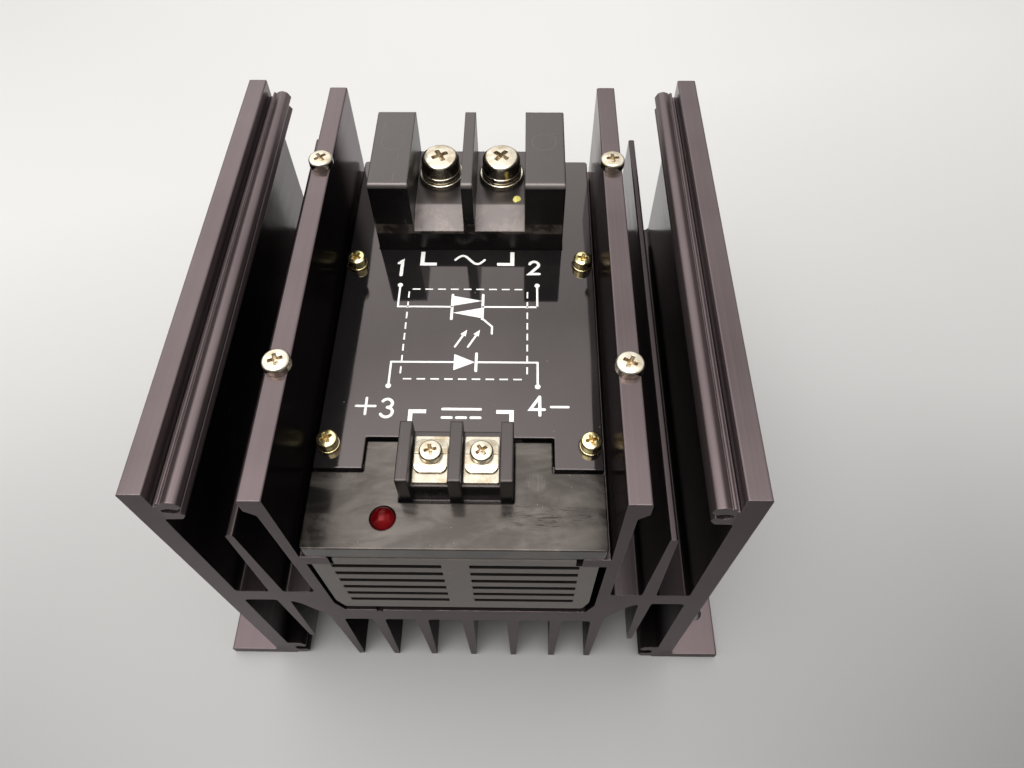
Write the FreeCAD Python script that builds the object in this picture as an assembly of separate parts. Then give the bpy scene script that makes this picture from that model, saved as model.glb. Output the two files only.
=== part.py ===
import FreeCAD, Part
import math
import os

# Panel-mount solid state relay with its own finned heat sink, in millimetres.
# +X is right, +Y (rear) is towards the load terminals, -Y (front) towards the input
# terminals, +Z is up.  Origin: middle of the footprint, underside of the mounting feet.
# HALF_X is a half width about X = 0; Z0/Z1 and Y0/Y1 are the low and high ends of a span.

Vector = FreeCAD.Vector
os.makedirs("parts", exist_ok=True)

SIDES = (-1, 1)               # left, right

# ---------------------------------------------------------------- driving dimensions
SINK_LENGTH = 142.0           # along Y
WALL_OUT = 70.0               # outer face of the outer walls
WALL_IN = 64.4                # inner face of the outer walls
WALL_TOP = 135.3
INNER_IN = 39.5               # inner face of the inner walls
INNER_OUT = 45.05             # outer face of the thick head of the inner walls
INNER_TOP = 132.6
FIN_X = 52.9                  # centre of the thin fins between the walls
FIN_TOP = 112.4
WEB_Z0, WEB_Z1 = 62.7, 70.1   # web that ties outer wall, fin and inner wall
BASE_Z0, BASE_Z1 = 43.8, 53.3  # base plate; its top is the trough floor
LEDGE_X = 32.4                # inner end of the ledges that carry the covers
LEDGE_Z0, LEDGE_Z1 = 93.5, 98.5
FOOT_X = 86.5                 # outer edge of the mounting feet
FOOT_T = 4.0
WALL_SCREW_X, WALL_SCREW_Y = 42.25, 35.5

COVER_HALF_X = 38.4
COVER_TOP = 104.0
COVER_PLATE_Z = 101.4         # underside of the cover plates
COVER_JOIN_Z = COVER_PLATE_Z + 0.2  # parts under a plate reach this far into it
COVER_Y0, COVER_Y1 = -70.8, 69.9
# Joint between the covers: (rear edge of front cover, front edge of main cover).
SPLIT_SIDE = (-49.6, -48.6)   # beside the step
SPLIT_MID = (-40.5, -39.2)    # inside the step
SPLIT_X = 25.2                # half width of the step
FIT_GAP = 0.12                # gap between a terminal block and its cover
THROUGH_Z = (90.0, 110.0)     # cutters that pass right through a cover

BLOCK_Z0 = COVER_PLATE_Z - 0.2                # underside of both terminal blocks
FLANGE_Z0, FLANGE_Z1 = 99.2, COVER_PLATE_Z - 0.1  # flanges held under the covers

LOAD_HALF_X = 28.9            # load terminal block
LOAD_Y0, LOAD_Y1 = 28.8, 61.9
LOAD_TOP = 130.8
LOAD_FLOOR = 115.1
LOAD_BAY = (1.65, 17.1)       # X span of a bay, mirrored for the other one
LOAD_SCREW_X, LOAD_SCREW_Y = 9.6, 50.4

IN_HALF_X = 14.6              # input terminal block
IN_Y0, IN_Y1 = -57.5, -40.3
IN_TOP = 115.0
IN_FLOOR = 109.2
IN_BAY = (1.6, 11.4)
IN_SCREW_X, IN_SCREW_Y = 6.5, -47.85

LED_X, LED_Y, LED_R = -18.4, -62.5, 3.25
LED_TOP = 106.2
LED_LEADS_X = (LED_X - 1.27, LED_X + 1.27)

BOARD_HALF_X, BOARD_Y0, BOARD_Y1 = 33.0, -66.0, -24.0
BOARD_Z = 78.0                # underside of the circuit board
BOARD_TOP = BOARD_Z + 1.6
BOARD_HOLE_INSET = 4.0

MODULE_HALF_X, MODULE_Y0, MODULE_Y1 = 31.0, -17.0, 62.0
SHEET_TOP = BASE_Z1 + 0.5     # top of the thermal sheet
PLATE_TOP = SHEET_TOP + 3.0   # top of the module's base plate
CASE_TOP = 79.0


def four_places(half_x, y0, y1):
    return [(-half_x, y0), (half_x, y0), (-half_x, y1), (half_x, y1)]


WALL_SCREWS = four_places(WALL_SCREW_X, -WALL_SCREW_Y, WALL_SCREW_Y)
COVER_SCREWS = four_places(35.1, -41.5, 22.5)
MODULE_SCREWS = four_places(MODULE_HALF_X - 5.0, MODULE_Y0 + 5.5, MODULE_Y1 - 5.5)
SPACERS = four_places(BOARD_HALF_X - BOARD_HOLE_INSET,
                      BOARD_Y0 + BOARD_HOLE_INSET, BOARD_Y1 - BOARD_HOLE_INSET)


# ---------------------------------------------------------------- basic shapes
def box(xa, xb, ya, yb, za, zb):
    """Box between two limits on each axis, given in either order."""
    x0, x1 = sorted((xa, xb))
    y0, y1 = sorted((ya, yb))
    z0, z1 = sorted((za, zb))
    return Part.makeBox(x1 - x0, y1 - y0, z1 - z0, Vector(x0, y0, z0))


def cylinder(x, y, z0, z1, radius):
    return Part.makeCylinder(radius, z1 - z0, Vector(x, y, z0))


def rounded_wire(points, place):
    """Closed wire through flat points (a, b, corner radius); place maps them into space.

    A radius too large for its neighbouring edges is reduced to fit.
    """
    corners = []
    count = len(points)
    for i, (a, b, radius) in enumerate(points):
        corner = Vector(a, b, 0)
        back = Vector(points[i - 1][0], points[i - 1][1], 0) - corner
        following = points[(i + 1) % count]
        ahead = Vector(following[0], following[1], 0) - corner
        limit = 0.46 * min(back.Length, ahead.Length)
        back.normalize()
        ahead.normalize()
        half_angle = math.acos(max(-1.0, min(1.0, back.dot(ahead)))) / 2.0
        if radius <= 0 or half_angle > math.pi / 2 - 0.02:
            corners.append((corner, None, corner))
            continue
        setback = radius / math.tan(half_angle)
        if setback > limit:
            setback = limit
            radius = setback * math.tan(half_angle)
        bisector = back + ahead
        bisector.normalize()
        middle = corner + bisector * (radius / math.sin(half_angle) - radius)
        corners.append((corner + back * setback, middle, corner + ahead * setback))
    edges = []
    for i, (start, middle, end) in enumerate(corners):
        if middle is not None:
            edges.append(Part.Arc(place(start), place(middle), place(end)).toShape())
        next_start = corners[(i + 1) % count][0]
        if (next_start - end).Length > 1e-6:
            edges.append(Part.makeLine(place(end), place(next_start)))
    return Part.Wire(edges)


def along_x(points, xa, xb):
    """Outline of (y, z, corner radius) extruded between two X values in either order."""
    x0, x1 = sorted((xa, xb))
    wire = rounded_wire(points, lambda p: Vector(x0, p.x, p.y))
    return Part.Face(wire).extrude(Vector(x1 - x0, 0, 0))


def along_y(points, ya, yb):
    """Outline of (x, z, corner radius) extruded between two Y values in either order."""
    y0, y1 = sorted((ya, yb))
    wire = rounded_wire(points, lambda p: Vector(p.x, y0, p.y))
    return Part.Face(wire).extrude(Vector(0, y1 - y0, 0))


def along_z(points, z0, z1):
    """Outline of (x, y, corner radius) extruded from z0 up to z1."""
    wire = rounded_wire(points, lambda p: Vector(p.x, p.y, z0))
    return Part.Face(wire).extrude(Vector(0, 0, z1 - z0))


def rounded_rect(a0, a1, b0, b1, radius):
    return [(a0, b0, radius), (a1, b0, radius), (a1, b1, radius), (a0, b1, radius)]


def revolved(points):
    """Solid of revolution about Z from (distance from axis, z, corner radius)."""
    wire = rounded_wire(points, lambda p: Vector(p.x, 0, p.y))
    return Part.Face(wire).revolve(Vector(0, 0, 0), Vector(0, 0, 1), 360)


def placed(shape, x=0, y=0, z=0, turn=0):
    """Copy turned about Z by some degrees, then moved."""
    copy = shape.copy()
    if turn:
        copy.rotate(Vector(0, 0, 0), Vector(0, 0, 1), turn)
    copy.translate(Vector(x, y, z))
    return copy


def fuse(shapes):
    return shapes[0].multiFuse(shapes[1:]).removeSplitter()


def cut_all(shape, cutters):
    return shape.cut(Part.makeCompound(cutters))


def soften(shape, radius, pick):
    """Round the edges for which pick(edge) is true."""
    chosen = [edge for edge in shape.Edges if pick(edge)]
    if not chosen:
        return shape
    # Guards against a fillet that cannot be built: the edges then stay sharp.
    try:
        out = shape.makeFillet(radius, chosen)
        if out.isValid() and abs(out.Volume) > 0:
            return out
    except Exception:
        pass
    return shape


def edge_level(edge, z):
    return all(abs(vertex.Z - z) < 0.01 for vertex in edge.Vertexes)


def save(name, shape):
    solids = shape.Solids
    out = solids[0] if len(solids) == 1 else Part.makeCompound(solids)
    out.exportStep("parts/%s.step" % name)


def save_group(name, shapes):
    save(name, Part.makeCompound(shapes))


# ---------------------------------------------------------------- screws
def pan_head(radius, height, z, rounding):
    """Pan head standing on z: upright side, rounded shoulder, nearly flat top."""
    return revolved([
        (0, z, 0), (radius, z, 0.15), (radius * 0.985, z + height * 0.9, rounding),
        (radius * 0.5, z + height * 0.985, radius * 0.6), (0, z + height, 0)])


def cross_recess(radius, z_top, depth, width):
    """Cutter for the tapered cross slot in a screw head."""
    floor = z_top - depth
    cone = Part.makeCone(radius * 0.42, radius, depth + 0.4, Vector(0, 0, floor))
    reach = radius + 1
    bars = box(-reach, reach, -width / 2, width / 2, floor, z_top + 0.5).fuse(
        box(-width / 2, width / 2, -reach, reach, floor, z_top + 0.5))
    tip = Part.makeCone(0.25 * width, width * 0.8, depth, Vector(0, 0, floor - 0.35))
    return bars.common(cone).fuse(tip)


def threaded_shank(radius, pitch, z_top, length, plain=0.6):
    """Shank with ring-shaped thread grooves below a plain neck, and a chamfered end."""
    root = radius - 0.5 * pitch
    z = z_top - plain
    end = z_top - length
    points = [(0, z_top, 0), (radius, z_top, 0), (radius, z, 0)]
    while z - pitch > end + 0.4 * pitch:
        points += [(root, z - pitch * 0.45, 0), (root, z - pitch * 0.55, 0),
                   (radius, z - pitch, 0)]
        z -= pitch
    points += [(radius, end + 0.35 * pitch, 0), (root, end, 0), (0, end, 0)]
    return revolved(points)


def pan_screw(head, thread, recess, z=0.0, plain=0.6):
    """Pan-head screw whose head stands on z.

    head = (radius, height, rounding), thread = (radius, pitch, length),
    recess = (radius, depth, width), plain = length of the unthreaded neck.
    """
    head_r, head_h, rounding = head
    thread_r, pitch, length = thread
    recess_r, depth, width = recess
    return fuse([pan_head(head_r, head_h, z, rounding),
                 threaded_shank(thread_r, pitch, z, length, plain)]).cut(
        cross_recess(recess_r, z + head_h, depth, width))


# ---------------------------------------------------------------- heat sink
FOOT_HOLE_X, FOOT_HOLE_Y, FOOT_HOLE_R = 80.0, 56.5, 2.6
M4_BORE_R = 2.05
M3_BORE_R = 1.55
LOW_FINS = (40.4, 27.7, 14.2)  # centres of the lowest fins; one more stands at X = 0
LOW_FIN_ROOT = 1.9             # half thickness at the base plate
LOW_FIN_TIP = 1.0              # half thickness at the lower end
LOW_FIN_Z = 0.3

# Right half of the profile, from the trough floor round to the sloped shoulder.
# Columns: x, z, corner radius.
SINK_PROFILE = [
    # trough side, cover ledge and inner wall
    (36.1, BASE_Z1, 0.5), (38.4, 60.0, 1.0), (38.8, LEDGE_Z0, 0.5),
    (LEDGE_X, LEDGE_Z0, 0.5), (LEDGE_X, LEDGE_Z1, 0.5), (INNER_IN, LEDGE_Z1, 0.4),
    (INNER_IN, INNER_TOP, 0.5), (INNER_OUT, INNER_TOP, 0.5), (INNER_OUT, 127.3, 0.9),
    (42.6, 124.6, 1.4), (41.9, WEB_Z1, 1.5),
    # thin upright fin
    (FIN_X - 2.0, WEB_Z1, 1.2), (FIN_X - 0.95, FIN_TOP, 0.5), (FIN_X + 0.95, FIN_TOP, 0.5),
    (FIN_X + 2.0, WEB_Z1, 1.2), (WALL_IN, WEB_Z1, 1.5),
    # upper screw port on the outer wall: lip, lens-shaped port, arm, groove, ridge
    (WALL_IN, 122.3, 0.9), (60.0, 122.5, 1.0), (58.75, 124.5, 0.6), (59.7, 125.9, 0.35),
    (61.6, 125.1, 1.0), (63.4, 125.9, 0.6), (63.4, 127.4, 0.6), (61.4, 128.1, 1.0),
    (59.5, 127.4, 0.35), (58.1, 128.9, 0.7), (59.0, 130.8, 1.3), (60.7, 131.3, 1.6),
    (62.2, 130.75, 0.6), (62.45, 130.3, 0.12), (62.75, 130.85, 0.25), (63.35, 130.85, 0.25),
    (63.5, 129.2, 0.2), (WALL_IN, 129.2, 0.3),
    # outer wall and foot
    (WALL_IN, WALL_TOP, 0.5), (WALL_OUT, WALL_TOP, 0.6),
    (WALL_OUT, FOOT_T, 1.0), (FOOT_X, FOOT_T, 0.6), (FOOT_X, 0.0, 0.4), (64.1, 0.0, 0.5),
    # lower screw port
    (63.4, 1.2, 0.3), (59.9, 1.4, 0.9), (58.6, 3.2, 0.6), (59.6, 4.9, 0.35),
    (61.5, 4.2, 0.9), (63.0, 5.2, 0.6), (63.0, 7.9, 0.6), (61.5, 8.9, 0.9),
    (59.7, 8.1, 0.35), (58.4, 9.9, 0.7), (59.6, 12.4, 0.9), (WALL_IN, 12.6, 1.0),
    (WALL_IN, WEB_Z0, 1.5),
    # short fin under the web, then the sloped shoulder
    (FIN_X + 1.8, WEB_Z0, 1.0), (FIN_X + 0.8, 24.0, 0.5), (FIN_X - 0.8, 24.0, 0.5),
    (FIN_X - 1.8, 62.3, 0.7), (48.3, 59.3, 1.8), (42.35, 47.2, 2.0),
]


def low_fin_points():
    """Lowest fins from the right one in to the right half of the centre one."""
    points = []
    for x in LOW_FINS:
        if x != LOW_FINS[0]:  # the shoulder runs straight into the outermost fin
            points.append((x + LOW_FIN_ROOT, BASE_Z0, 1.4))
        points += [(x + LOW_FIN_TIP, LOW_FIN_Z, 0.5), (x - LOW_FIN_TIP, LOW_FIN_Z, 0.5),
                   (x - LOW_FIN_ROOT, BASE_Z0, 1.4)]
    return points + [(LOW_FIN_ROOT, BASE_Z0, 1.4), (LOW_FIN_TIP, LOW_FIN_Z, 0.5)]


def heat_sink():
    right = SINK_PROFILE + low_fin_points()
    left = [(-x, z, radius) for x, z, radius in reversed(right)]
    sink = along_y(right + left, -SINK_LENGTH / 2, SINK_LENGTH / 2)
    cuts = []
    for side in SIDES:
        for end in (-1, 1):
            cuts.append(cylinder(side * FOOT_HOLE_X, end * FOOT_HOLE_Y, -1, FOOT_T + 1,
                                 FOOT_HOLE_R))
            cuts.append(cylinder(side * WALL_SCREW_X, end * WALL_SCREW_Y, INNER_TOP - 5.2,
                                 INNER_TOP + 1, M4_BORE_R))
    cuts += [cylinder(x, y, LEDGE_Z0 - 1, LEDGE_Z1 + 1, M3_BORE_R) for x, y in COVER_SCREWS]
    # scribed line along the trough floor
    cuts.append(along_y([(-27.0, BASE_Z1 + 0.2, 0), (-24.9, BASE_Z1 + 0.2, 0),
                         (-25.2, BASE_Z1 - 1.4, 0.2), (-26.7, BASE_Z1 - 1.4, 0.2)], -72, 72))
    cuts += [cylinder(x, y, BASE_Z1 - 7.5, BASE_Z1 + 1, M4_BORE_R) for x, y in MODULE_SCREWS]
    cuts += [cylinder(x, y, BASE_Z1 - 6.0, BASE_Z1 + 1, M3_BORE_R) for x, y in SPACERS]
    return cut_all(sink, cuts)


save("heat_sink", heat_sink())

# screws standing on top of the inner walls
wall_screw = pan_screw(head=(3.5, 2.7, 0.8), thread=(2.0, 0.7, 5.0), recess=(2.15, 1.6, 1.0))
save_group("wall_screws", [placed(wall_screw, x, y, INNER_TOP, turn)
                           for (x, y), turn in zip(WALL_SCREWS, (20, 62, 38, 5))])

# ---------------------------------------------------------------- covers
RIM_IN = 35.6                 # inner face of the side rims
END_RIM_T = 2.4
END_RIM_Z = LEDGE_Z1 + 0.1
CORNER_GAP = 1.2              # side rims stop this far short of the cover's end
SCREW_SEAT_Z = COVER_TOP - 0.35
SCREW_SEAT_R = 3.3
COVER_HOLE_R = 1.75


def cover_plate(points):
    plate = along_z(points, COVER_PLATE_Z, COVER_TOP)
    return soften(plate, 0.35, lambda edge: edge_level(edge, COVER_TOP))


def side_rims(y0, y1):
    return [box(side * COVER_HALF_X, side * RIM_IN, y0, y1, LEDGE_Z1, COVER_JOIN_Z)
            for side in SIDES]


def main_cover():
    """Rear cover, open around the load terminal block and screwed to the ledges."""
    step_x = SPLIT_X + 0.1
    plate = cover_plate([
        (-COVER_HALF_X, SPLIT_SIDE[1], 0.4), (-step_x, SPLIT_SIDE[1], 0.4),
        (-step_x, SPLIT_MID[1], 0.4), (step_x, SPLIT_MID[1], 0.4),
        (step_x, SPLIT_SIDE[1], 0.4), (COVER_HALF_X, SPLIT_SIDE[1], 0.4),
        (COVER_HALF_X, COVER_Y1, 1.0), (-COVER_HALF_X, COVER_Y1, 1.0)])
    rims = side_rims(SPLIT_SIDE[1] + 0.4, COVER_Y1 - CORNER_GAP)
    rims.append(box(-COVER_HALF_X + 1.0, COVER_HALF_X - 1.0, COVER_Y1 - END_RIM_T, COVER_Y1,
                    END_RIM_Z, COVER_JOIN_Z))
    ribs = [box(-30.0, 30.0, y0, y1, 97.6, COVER_JOIN_Z)
            for y0, y1 in ((-20.0, -18.4), (8.0, 9.6))]
    bosses = [cylinder(x, y, LEDGE_Z1, COVER_JOIN_Z, SCREW_SEAT_R) for x, y in COVER_SCREWS]
    opening_x = LOAD_HALF_X + FIT_GAP
    opening = box(-opening_x, opening_x, LOAD_Y0 - FIT_GAP, LOAD_Y1 + FIT_GAP, 95.0, 110.0)
    holes = [cylinder(x, y, *THROUGH_Z, COVER_HOLE_R) for x, y in COVER_SCREWS]
    seats = [cylinder(x, y, SCREW_SEAT_Z, THROUGH_Z[1], SCREW_SEAT_R)
             for x, y in COVER_SCREWS]
    return cut_all(fuse([plate] + rims + ribs + bosses), [opening] + holes + seats)


def front_cover():
    """Front cover, notched around the input block, with the indicator's hole."""
    step_x = SPLIT_X - 0.35
    notch_x = IN_HALF_X + FIT_GAP
    notch_y = IN_Y0 - 0.65
    plate = cover_plate([
        (-COVER_HALF_X, COVER_Y0, 1.0), (COVER_HALF_X, COVER_Y0, 1.0),
        (COVER_HALF_X, SPLIT_SIDE[0], 0.4), (step_x, SPLIT_SIDE[0], 0.4),
        (step_x, SPLIT_MID[0], 0.4), (notch_x, SPLIT_MID[0], 0.2),
        (notch_x, notch_y, 0.3), (-notch_x, notch_y, 0.3),
        (-notch_x, SPLIT_MID[0], 0.2), (-step_x, SPLIT_MID[0], 0.4),
        (-step_x, SPLIT_SIDE[0], 0.4), (-COVER_HALF_X, SPLIT_SIDE[0], 0.4)])
    end_rim = along_z([
        (-COVER_HALF_X, COVER_Y0, 1.0), (COVER_HALF_X, COVER_Y0, 1.0),
        (COVER_HALF_X, COVER_Y0 + END_RIM_T, 0), (-COVER_HALF_X, COVER_Y0 + END_RIM_T, 0)],
        END_RIM_Z, COVER_JOIN_Z)
    # hooks that reach under the main cover, each tied to the plate by a bar above it
    hooks = [box(side * 17.4, side * 34.0, -51.0, y1, z0, z1)
             for y1, z0, z1 in ((-46.2, 99.0, 101.2), (SPLIT_SIDE[0], 101.0, COVER_JOIN_Z))
             for side in SIDES]
    led_boss = cylinder(LED_X, LED_Y, 99.4, COVER_JOIN_Z, 4.45)
    cover = fuse([plate] + side_rims(COVER_Y0 + CORNER_GAP, SPLIT_SIDE[0])
                 + [end_rim] + hooks + [led_boss])
    return cut_all(cover, [cylinder(LED_X, LED_Y, *THROUGH_Z, LED_R + 0.15),
                           cylinder(LED_X, LED_Y, THROUGH_Z[0], 100.7, LED_R + 0.55)])


save("main_cover", main_cover())
save("front_cover", front_cover())

# screws and split spring washers that hold the main cover to the ledges
COVER_WASHER_T = 0.9
cover_screw = pan_screw(head=(2.9, 3.1, 0.75), thread=(1.5, 0.5, 10.4),
                        recess=(1.95, 1.7, 0.95))
save_group("cover_screws", [
    placed(cover_screw, x, y, SCREW_SEAT_Z + COVER_WASHER_T, turn)
    for (x, y), turn in zip(COVER_SCREWS, (33, 12, 57, 78))])


def cover_washer(turn):
    ring = revolved([(1.6, 0.0, 0.0), (3.05, 0.0, 0.15),
                     (3.05, COVER_WASHER_T, 0.2), (1.6, COVER_WASHER_T, 0.0)])
    slit = box(1.2, 3.4, -0.22, 0.22, -0.1, COVER_WASHER_T + 0.1)
    return ring.cut(placed(slit, turn=turn))


save_group("cover_screw_washers", [
    placed(cover_washer(turn), x, y, SCREW_SEAT_Z)
    for (x, y), turn in zip(COVER_SCREWS, (250, 300, 200, 330))])

# ---------------------------------------------------------------- end grilles
GRILLE_X = -0.4               # the end plates sit slightly left of the middle
GRILLE_T = 2.2
GRILLE_DEPTH = 8.0            # outer face to the inner end of the side legs
SLOT_ROWS, SLOT_Z0, SLOT_PITCH = 6, 63.9, 5.6
SLOT_HALF_H = 1.15
GRILLE_OUTLINE = [            # x, z, corner radius
    (-35.3, 56.6, 1.2), (35.3, 56.6, 1.2), (37.0, 62.6, 1.6), (37.2, 93.4, 0.3),
    (31.2, 93.4, 0.2), (31.2, 97.1, 0.3), (-31.2, 97.1, 0.3), (-31.2, 93.4, 0.2),
    (-37.2, 93.4, 0.3), (-37.0, 62.6, 1.6)]


def grille(y_face, inward):
    """Slotted plate closing one end of the trough; inward is the Y direction into it."""
    y_back = y_face + inward * GRILLE_T
    plate = along_y(GRILLE_OUTLINE, y_face, y_back)
    legs = [box(side * 37.2, side * 35.4, y_back, y_face + inward * GRILLE_DEPTH, 66.0, 93.4)
            for side in SIDES]
    top_bar = box(-30.5, 30.5, y_back, y_back + inward * 1.6, 95.3, 97.1)
    slots = []
    for row in range(SLOT_ROWS):
        z = SLOT_Z0 + SLOT_PITCH * row
        for x0, x1 in ((-32.3, -3.6), (3.6, 32.3)):
            slots.append(along_y(
                rounded_rect(x0, x1, z - SLOT_HALF_H, z + SLOT_HALF_H, 0.3),
                y_face - inward * 0.5, y_back + inward * 0.5))
    return placed(cut_all(fuse([plate] + legs + [top_bar]), slots), GRILLE_X)


save("front_grille", grille(COVER_Y0, 1))
save("rear_grille", grille(COVER_Y1, -1))


# ---------------------------------------------------------------- load terminal block
def block_end_edge(edge, half_x):
    """True for an edge of a terminal block's left or right face that rises above the cover."""
    bounds = edge.BoundBox
    return (len(edge.Vertexes) == 2 and bounds.XLength < 0.01
            and abs(abs(bounds.XMin) - half_x) < 0.01 and bounds.ZMax > COVER_TOP)


def load_terminal_block():
    block = along_x([(LOAD_Y0, BLOCK_Z0, 0), (LOAD_Y0, LOAD_TOP, 1.2),
                     (LOAD_Y1, LOAD_TOP, 0.8), (LOAD_Y1, BLOCK_Z0, 0)],
                    -LOAD_HALF_X, LOAD_HALF_X)
    block = soften(block, 0.5, lambda edge: block_end_edge(edge, LOAD_HALF_X))
    # bays open at both ends, with a floor that slopes down to the front
    bay = [(LOAD_Y0 - 2.0, 111.45, 0), (LOAD_Y0 + 8.7, LOAD_FLOOR, 0),
           (LOAD_Y1 + 2, LOAD_FLOOR, 0), (LOAD_Y1 + 2, LOAD_TOP + 3, 0),
           (LOAD_Y0 - 2.0, LOAD_TOP + 3, 0)]
    block = cut_all(block, [along_x(bay, side * LOAD_BAY[0], side * LOAD_BAY[1])
                            for side in (1, -1)])
    flange_x = LOAD_HALF_X + 2.5
    block = fuse([block, box(-flange_x, flange_x, LOAD_Y0 - 2.5, LOAD_Y1 + 2.5,
                             FLANGE_Z0, FLANGE_Z1)])
    # hollows from below; a post is left around each insert
    hollow_y = (LOAD_Y0 + 2.2, LOAD_Y1 - 2.2)
    cavities = []
    for side in SIDES:
        x = side * LOAD_SCREW_X
        cavities.append(box(side * 19.2, side * 26.9, *hollow_y, 98.0, LOAD_TOP - 2.4))
        pocket = box(side * 2.2, side * 17.2, *hollow_y, 98.0, 109.2)
        cavities.append(pocket.cut(cylinder(x, LOAD_SCREW_Y, 98.0, 116.0, 7.0)))
        cavities.append(cylinder(x, LOAD_SCREW_Y, 98.0, LOAD_FLOOR + 1, 5.55))
    return cut_all(block, cavities)


save("load_terminal_block", load_terminal_block())

# grooved threaded inserts: distance from axis, z, corner radius
INSERT_PROFILE = [
    (0, 98.9, 0), (5.5, 98.9, 0.3), (5.5, 102.0, 0.1), (5.1, 102.4, 0.1), (5.1, 104.4, 0.1),
    (5.5, 104.8, 0.1), (5.5, 110.0, 0.1), (5.1, 110.4, 0.1), (5.1, 112.4, 0.1),
    (5.5, 112.8, 0.1), (5.5, LOAD_FLOOR, 0.2), (3.05, LOAD_FLOOR, 0), (3.05, 101.5, 0),
    (0, 100.6, 0)]
save_group("load_terminal_inserts", [
    placed(revolved(INSERT_PROFILE), side * LOAD_SCREW_X, LOAD_SCREW_Y) for side in SIDES])

# M6 load terminal screws, each on a split spring washer and a flat washer
FLAT_TOP = LOAD_FLOOR + 1.6
LOAD_HEAD_Z = FLAT_TOP + 1.8
LOAD_HEAD_H = 4.9


def load_screw():
    head_top = LOAD_HEAD_Z + LOAD_HEAD_H
    head = revolved([(0, LOAD_HEAD_Z, 0), (5.95, LOAD_HEAD_Z, 0.35),
                     (5.9, head_top - 0.5, 1.35), (3.0, head_top - 0.12, 4.0),
                     (0, head_top, 0)])
    shank = threaded_shank(3.0, 1.0, LOAD_HEAD_Z, 14.0, 0.8)
    return fuse([head, shank]).cut(cross_recess(3.1, head_top, 2.3, 1.5))


def load_spring_washer(turn):
    ring = revolved([(3.1, FLAT_TOP, 0), (6.25, FLAT_TOP, 0.5), (6.25, LOAD_HEAD_Z, 0.5),
                     (3.1, LOAD_HEAD_Z, 0)])
    slit = box(2.6, 7.0, -0.35, 0.35, LOAD_FLOOR, LOAD_HEAD_Z + 1)
    return ring.cut(placed(slit, turn=turn))


def load_flat_washer():
    return revolved([(3.2, LOAD_FLOOR, 0), (7.1, LOAD_FLOOR, 0.3), (7.1, FLAT_TOP, 0.45),
                     (3.2, FLAT_TOP, 0)])


for name, side, screw_turn, slit_turn in (("1", -1, 28, 200), ("2", 1, 52, 245)):
    x = side * LOAD_SCREW_X
    save("load_screw_" + name, placed(load_screw(), x, LOAD_SCREW_Y, turn=screw_turn))
    save("load_spring_washer_" + name,
         placed(load_spring_washer(slit_turn), x, LOAD_SCREW_Y))
    save("load_flat_washer_" + name, placed(load_flat_washer(), x, LOAD_SCREW_Y))

# ---------------------------------------------------------------- input terminal block
FRONT_NOTCH = 1.35            # depth of the notch in the front face of each bay
TAIL_HALF_X = 1.5             # terminal tails that run down to the board
TAIL_Y0, TAIL_Y1 = IN_Y1 - 3.5, IN_Y1 - 2.7


def tail_box(x, gap_x, gap_y, z0, z1):
    """Tail at x, grown by a gap on each side to cut its slot."""
    half_x = TAIL_HALF_X + gap_x
    return box(x - half_x, x + half_x, TAIL_Y0 - gap_y, TAIL_Y1 + gap_y, z0, z1)


def input_terminal_block():
    block = along_x([(IN_Y0, BLOCK_Z0, 0), (IN_Y0, IN_TOP, 0.5), (IN_Y1, IN_TOP, 0.5),
                     (IN_Y1, BLOCK_Z0, 0)], -IN_HALF_X, IN_HALF_X)
    block = soften(block, 0.3, lambda edge: block_end_edge(edge, IN_HALF_X))
    notch_y = IN_Y0 + FRONT_NOTCH
    block = cut_all(block, [
        box(side * IN_BAY[0], side * IN_BAY[1], IN_Y0 - 2, y1, z0, IN_TOP + 2)
        for y1, z0 in ((IN_Y1 + 2, IN_FLOOR), (notch_y, COVER_PLATE_Z))
        for side in (1, -1)])
    # front edge of the bay floors
    block = soften(block, 0.25, lambda edge: (
        edge_level(edge, IN_FLOOR) and abs(edge.BoundBox.YMin - notch_y) < 0.01
        and edge.BoundBox.YLength < 0.01))
    block = fuse([block, box(-17.0, 17.0, IN_Y0 - 0.5, IN_Y1 + 0.8, FLANGE_Z0, FLANGE_Z1)])
    cavities = []
    for side in SIDES:
        x = side * IN_SCREW_X
        cavities.append(cylinder(x, IN_SCREW_Y, 101.6, IN_FLOOR + 1, 3.3))
        cavities.append(tail_box(x, 0.4, 0.3, 98.0, IN_FLOOR + 1))
    return cut_all(block, cavities)


save("input_terminal_block", input_terminal_block())

IN_PLATE_TOP = IN_FLOOR + 1.0
CLAMP_T = 0.8
CLAMP_RISE = 0.25             # arch of the clamp washer
IN_HEAD_Z = IN_PLATE_TOP + CLAMP_T + CLAMP_RISE


def input_plate(x):
    """Terminal plate with a collar for the screw and a tail down to the board."""
    plate = along_z(rounded_rect(x - 4.45, x + 4.45, IN_Y0 + 2.0, IN_Y1 - 2.0, 0.4),
                    IN_FLOOR, IN_PLATE_TOP)
    z0, z1 = IN_FLOOR - 3.6, IN_FLOOR + 0.2
    collar = placed(revolved([(1.8, z0, 0), (3.1, z0, 0.3), (3.1, z1, 0), (1.8, z1, 0)]),
                    x, IN_SCREW_Y)
    tail = tail_box(x, 0, 0, BOARD_Z - 1.5, z1)
    return fuse([plate, collar, tail]).cut(
        cylinder(x, IN_SCREW_Y, IN_FLOOR - 6, IN_PLATE_TOP + 1, 1.8))


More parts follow.
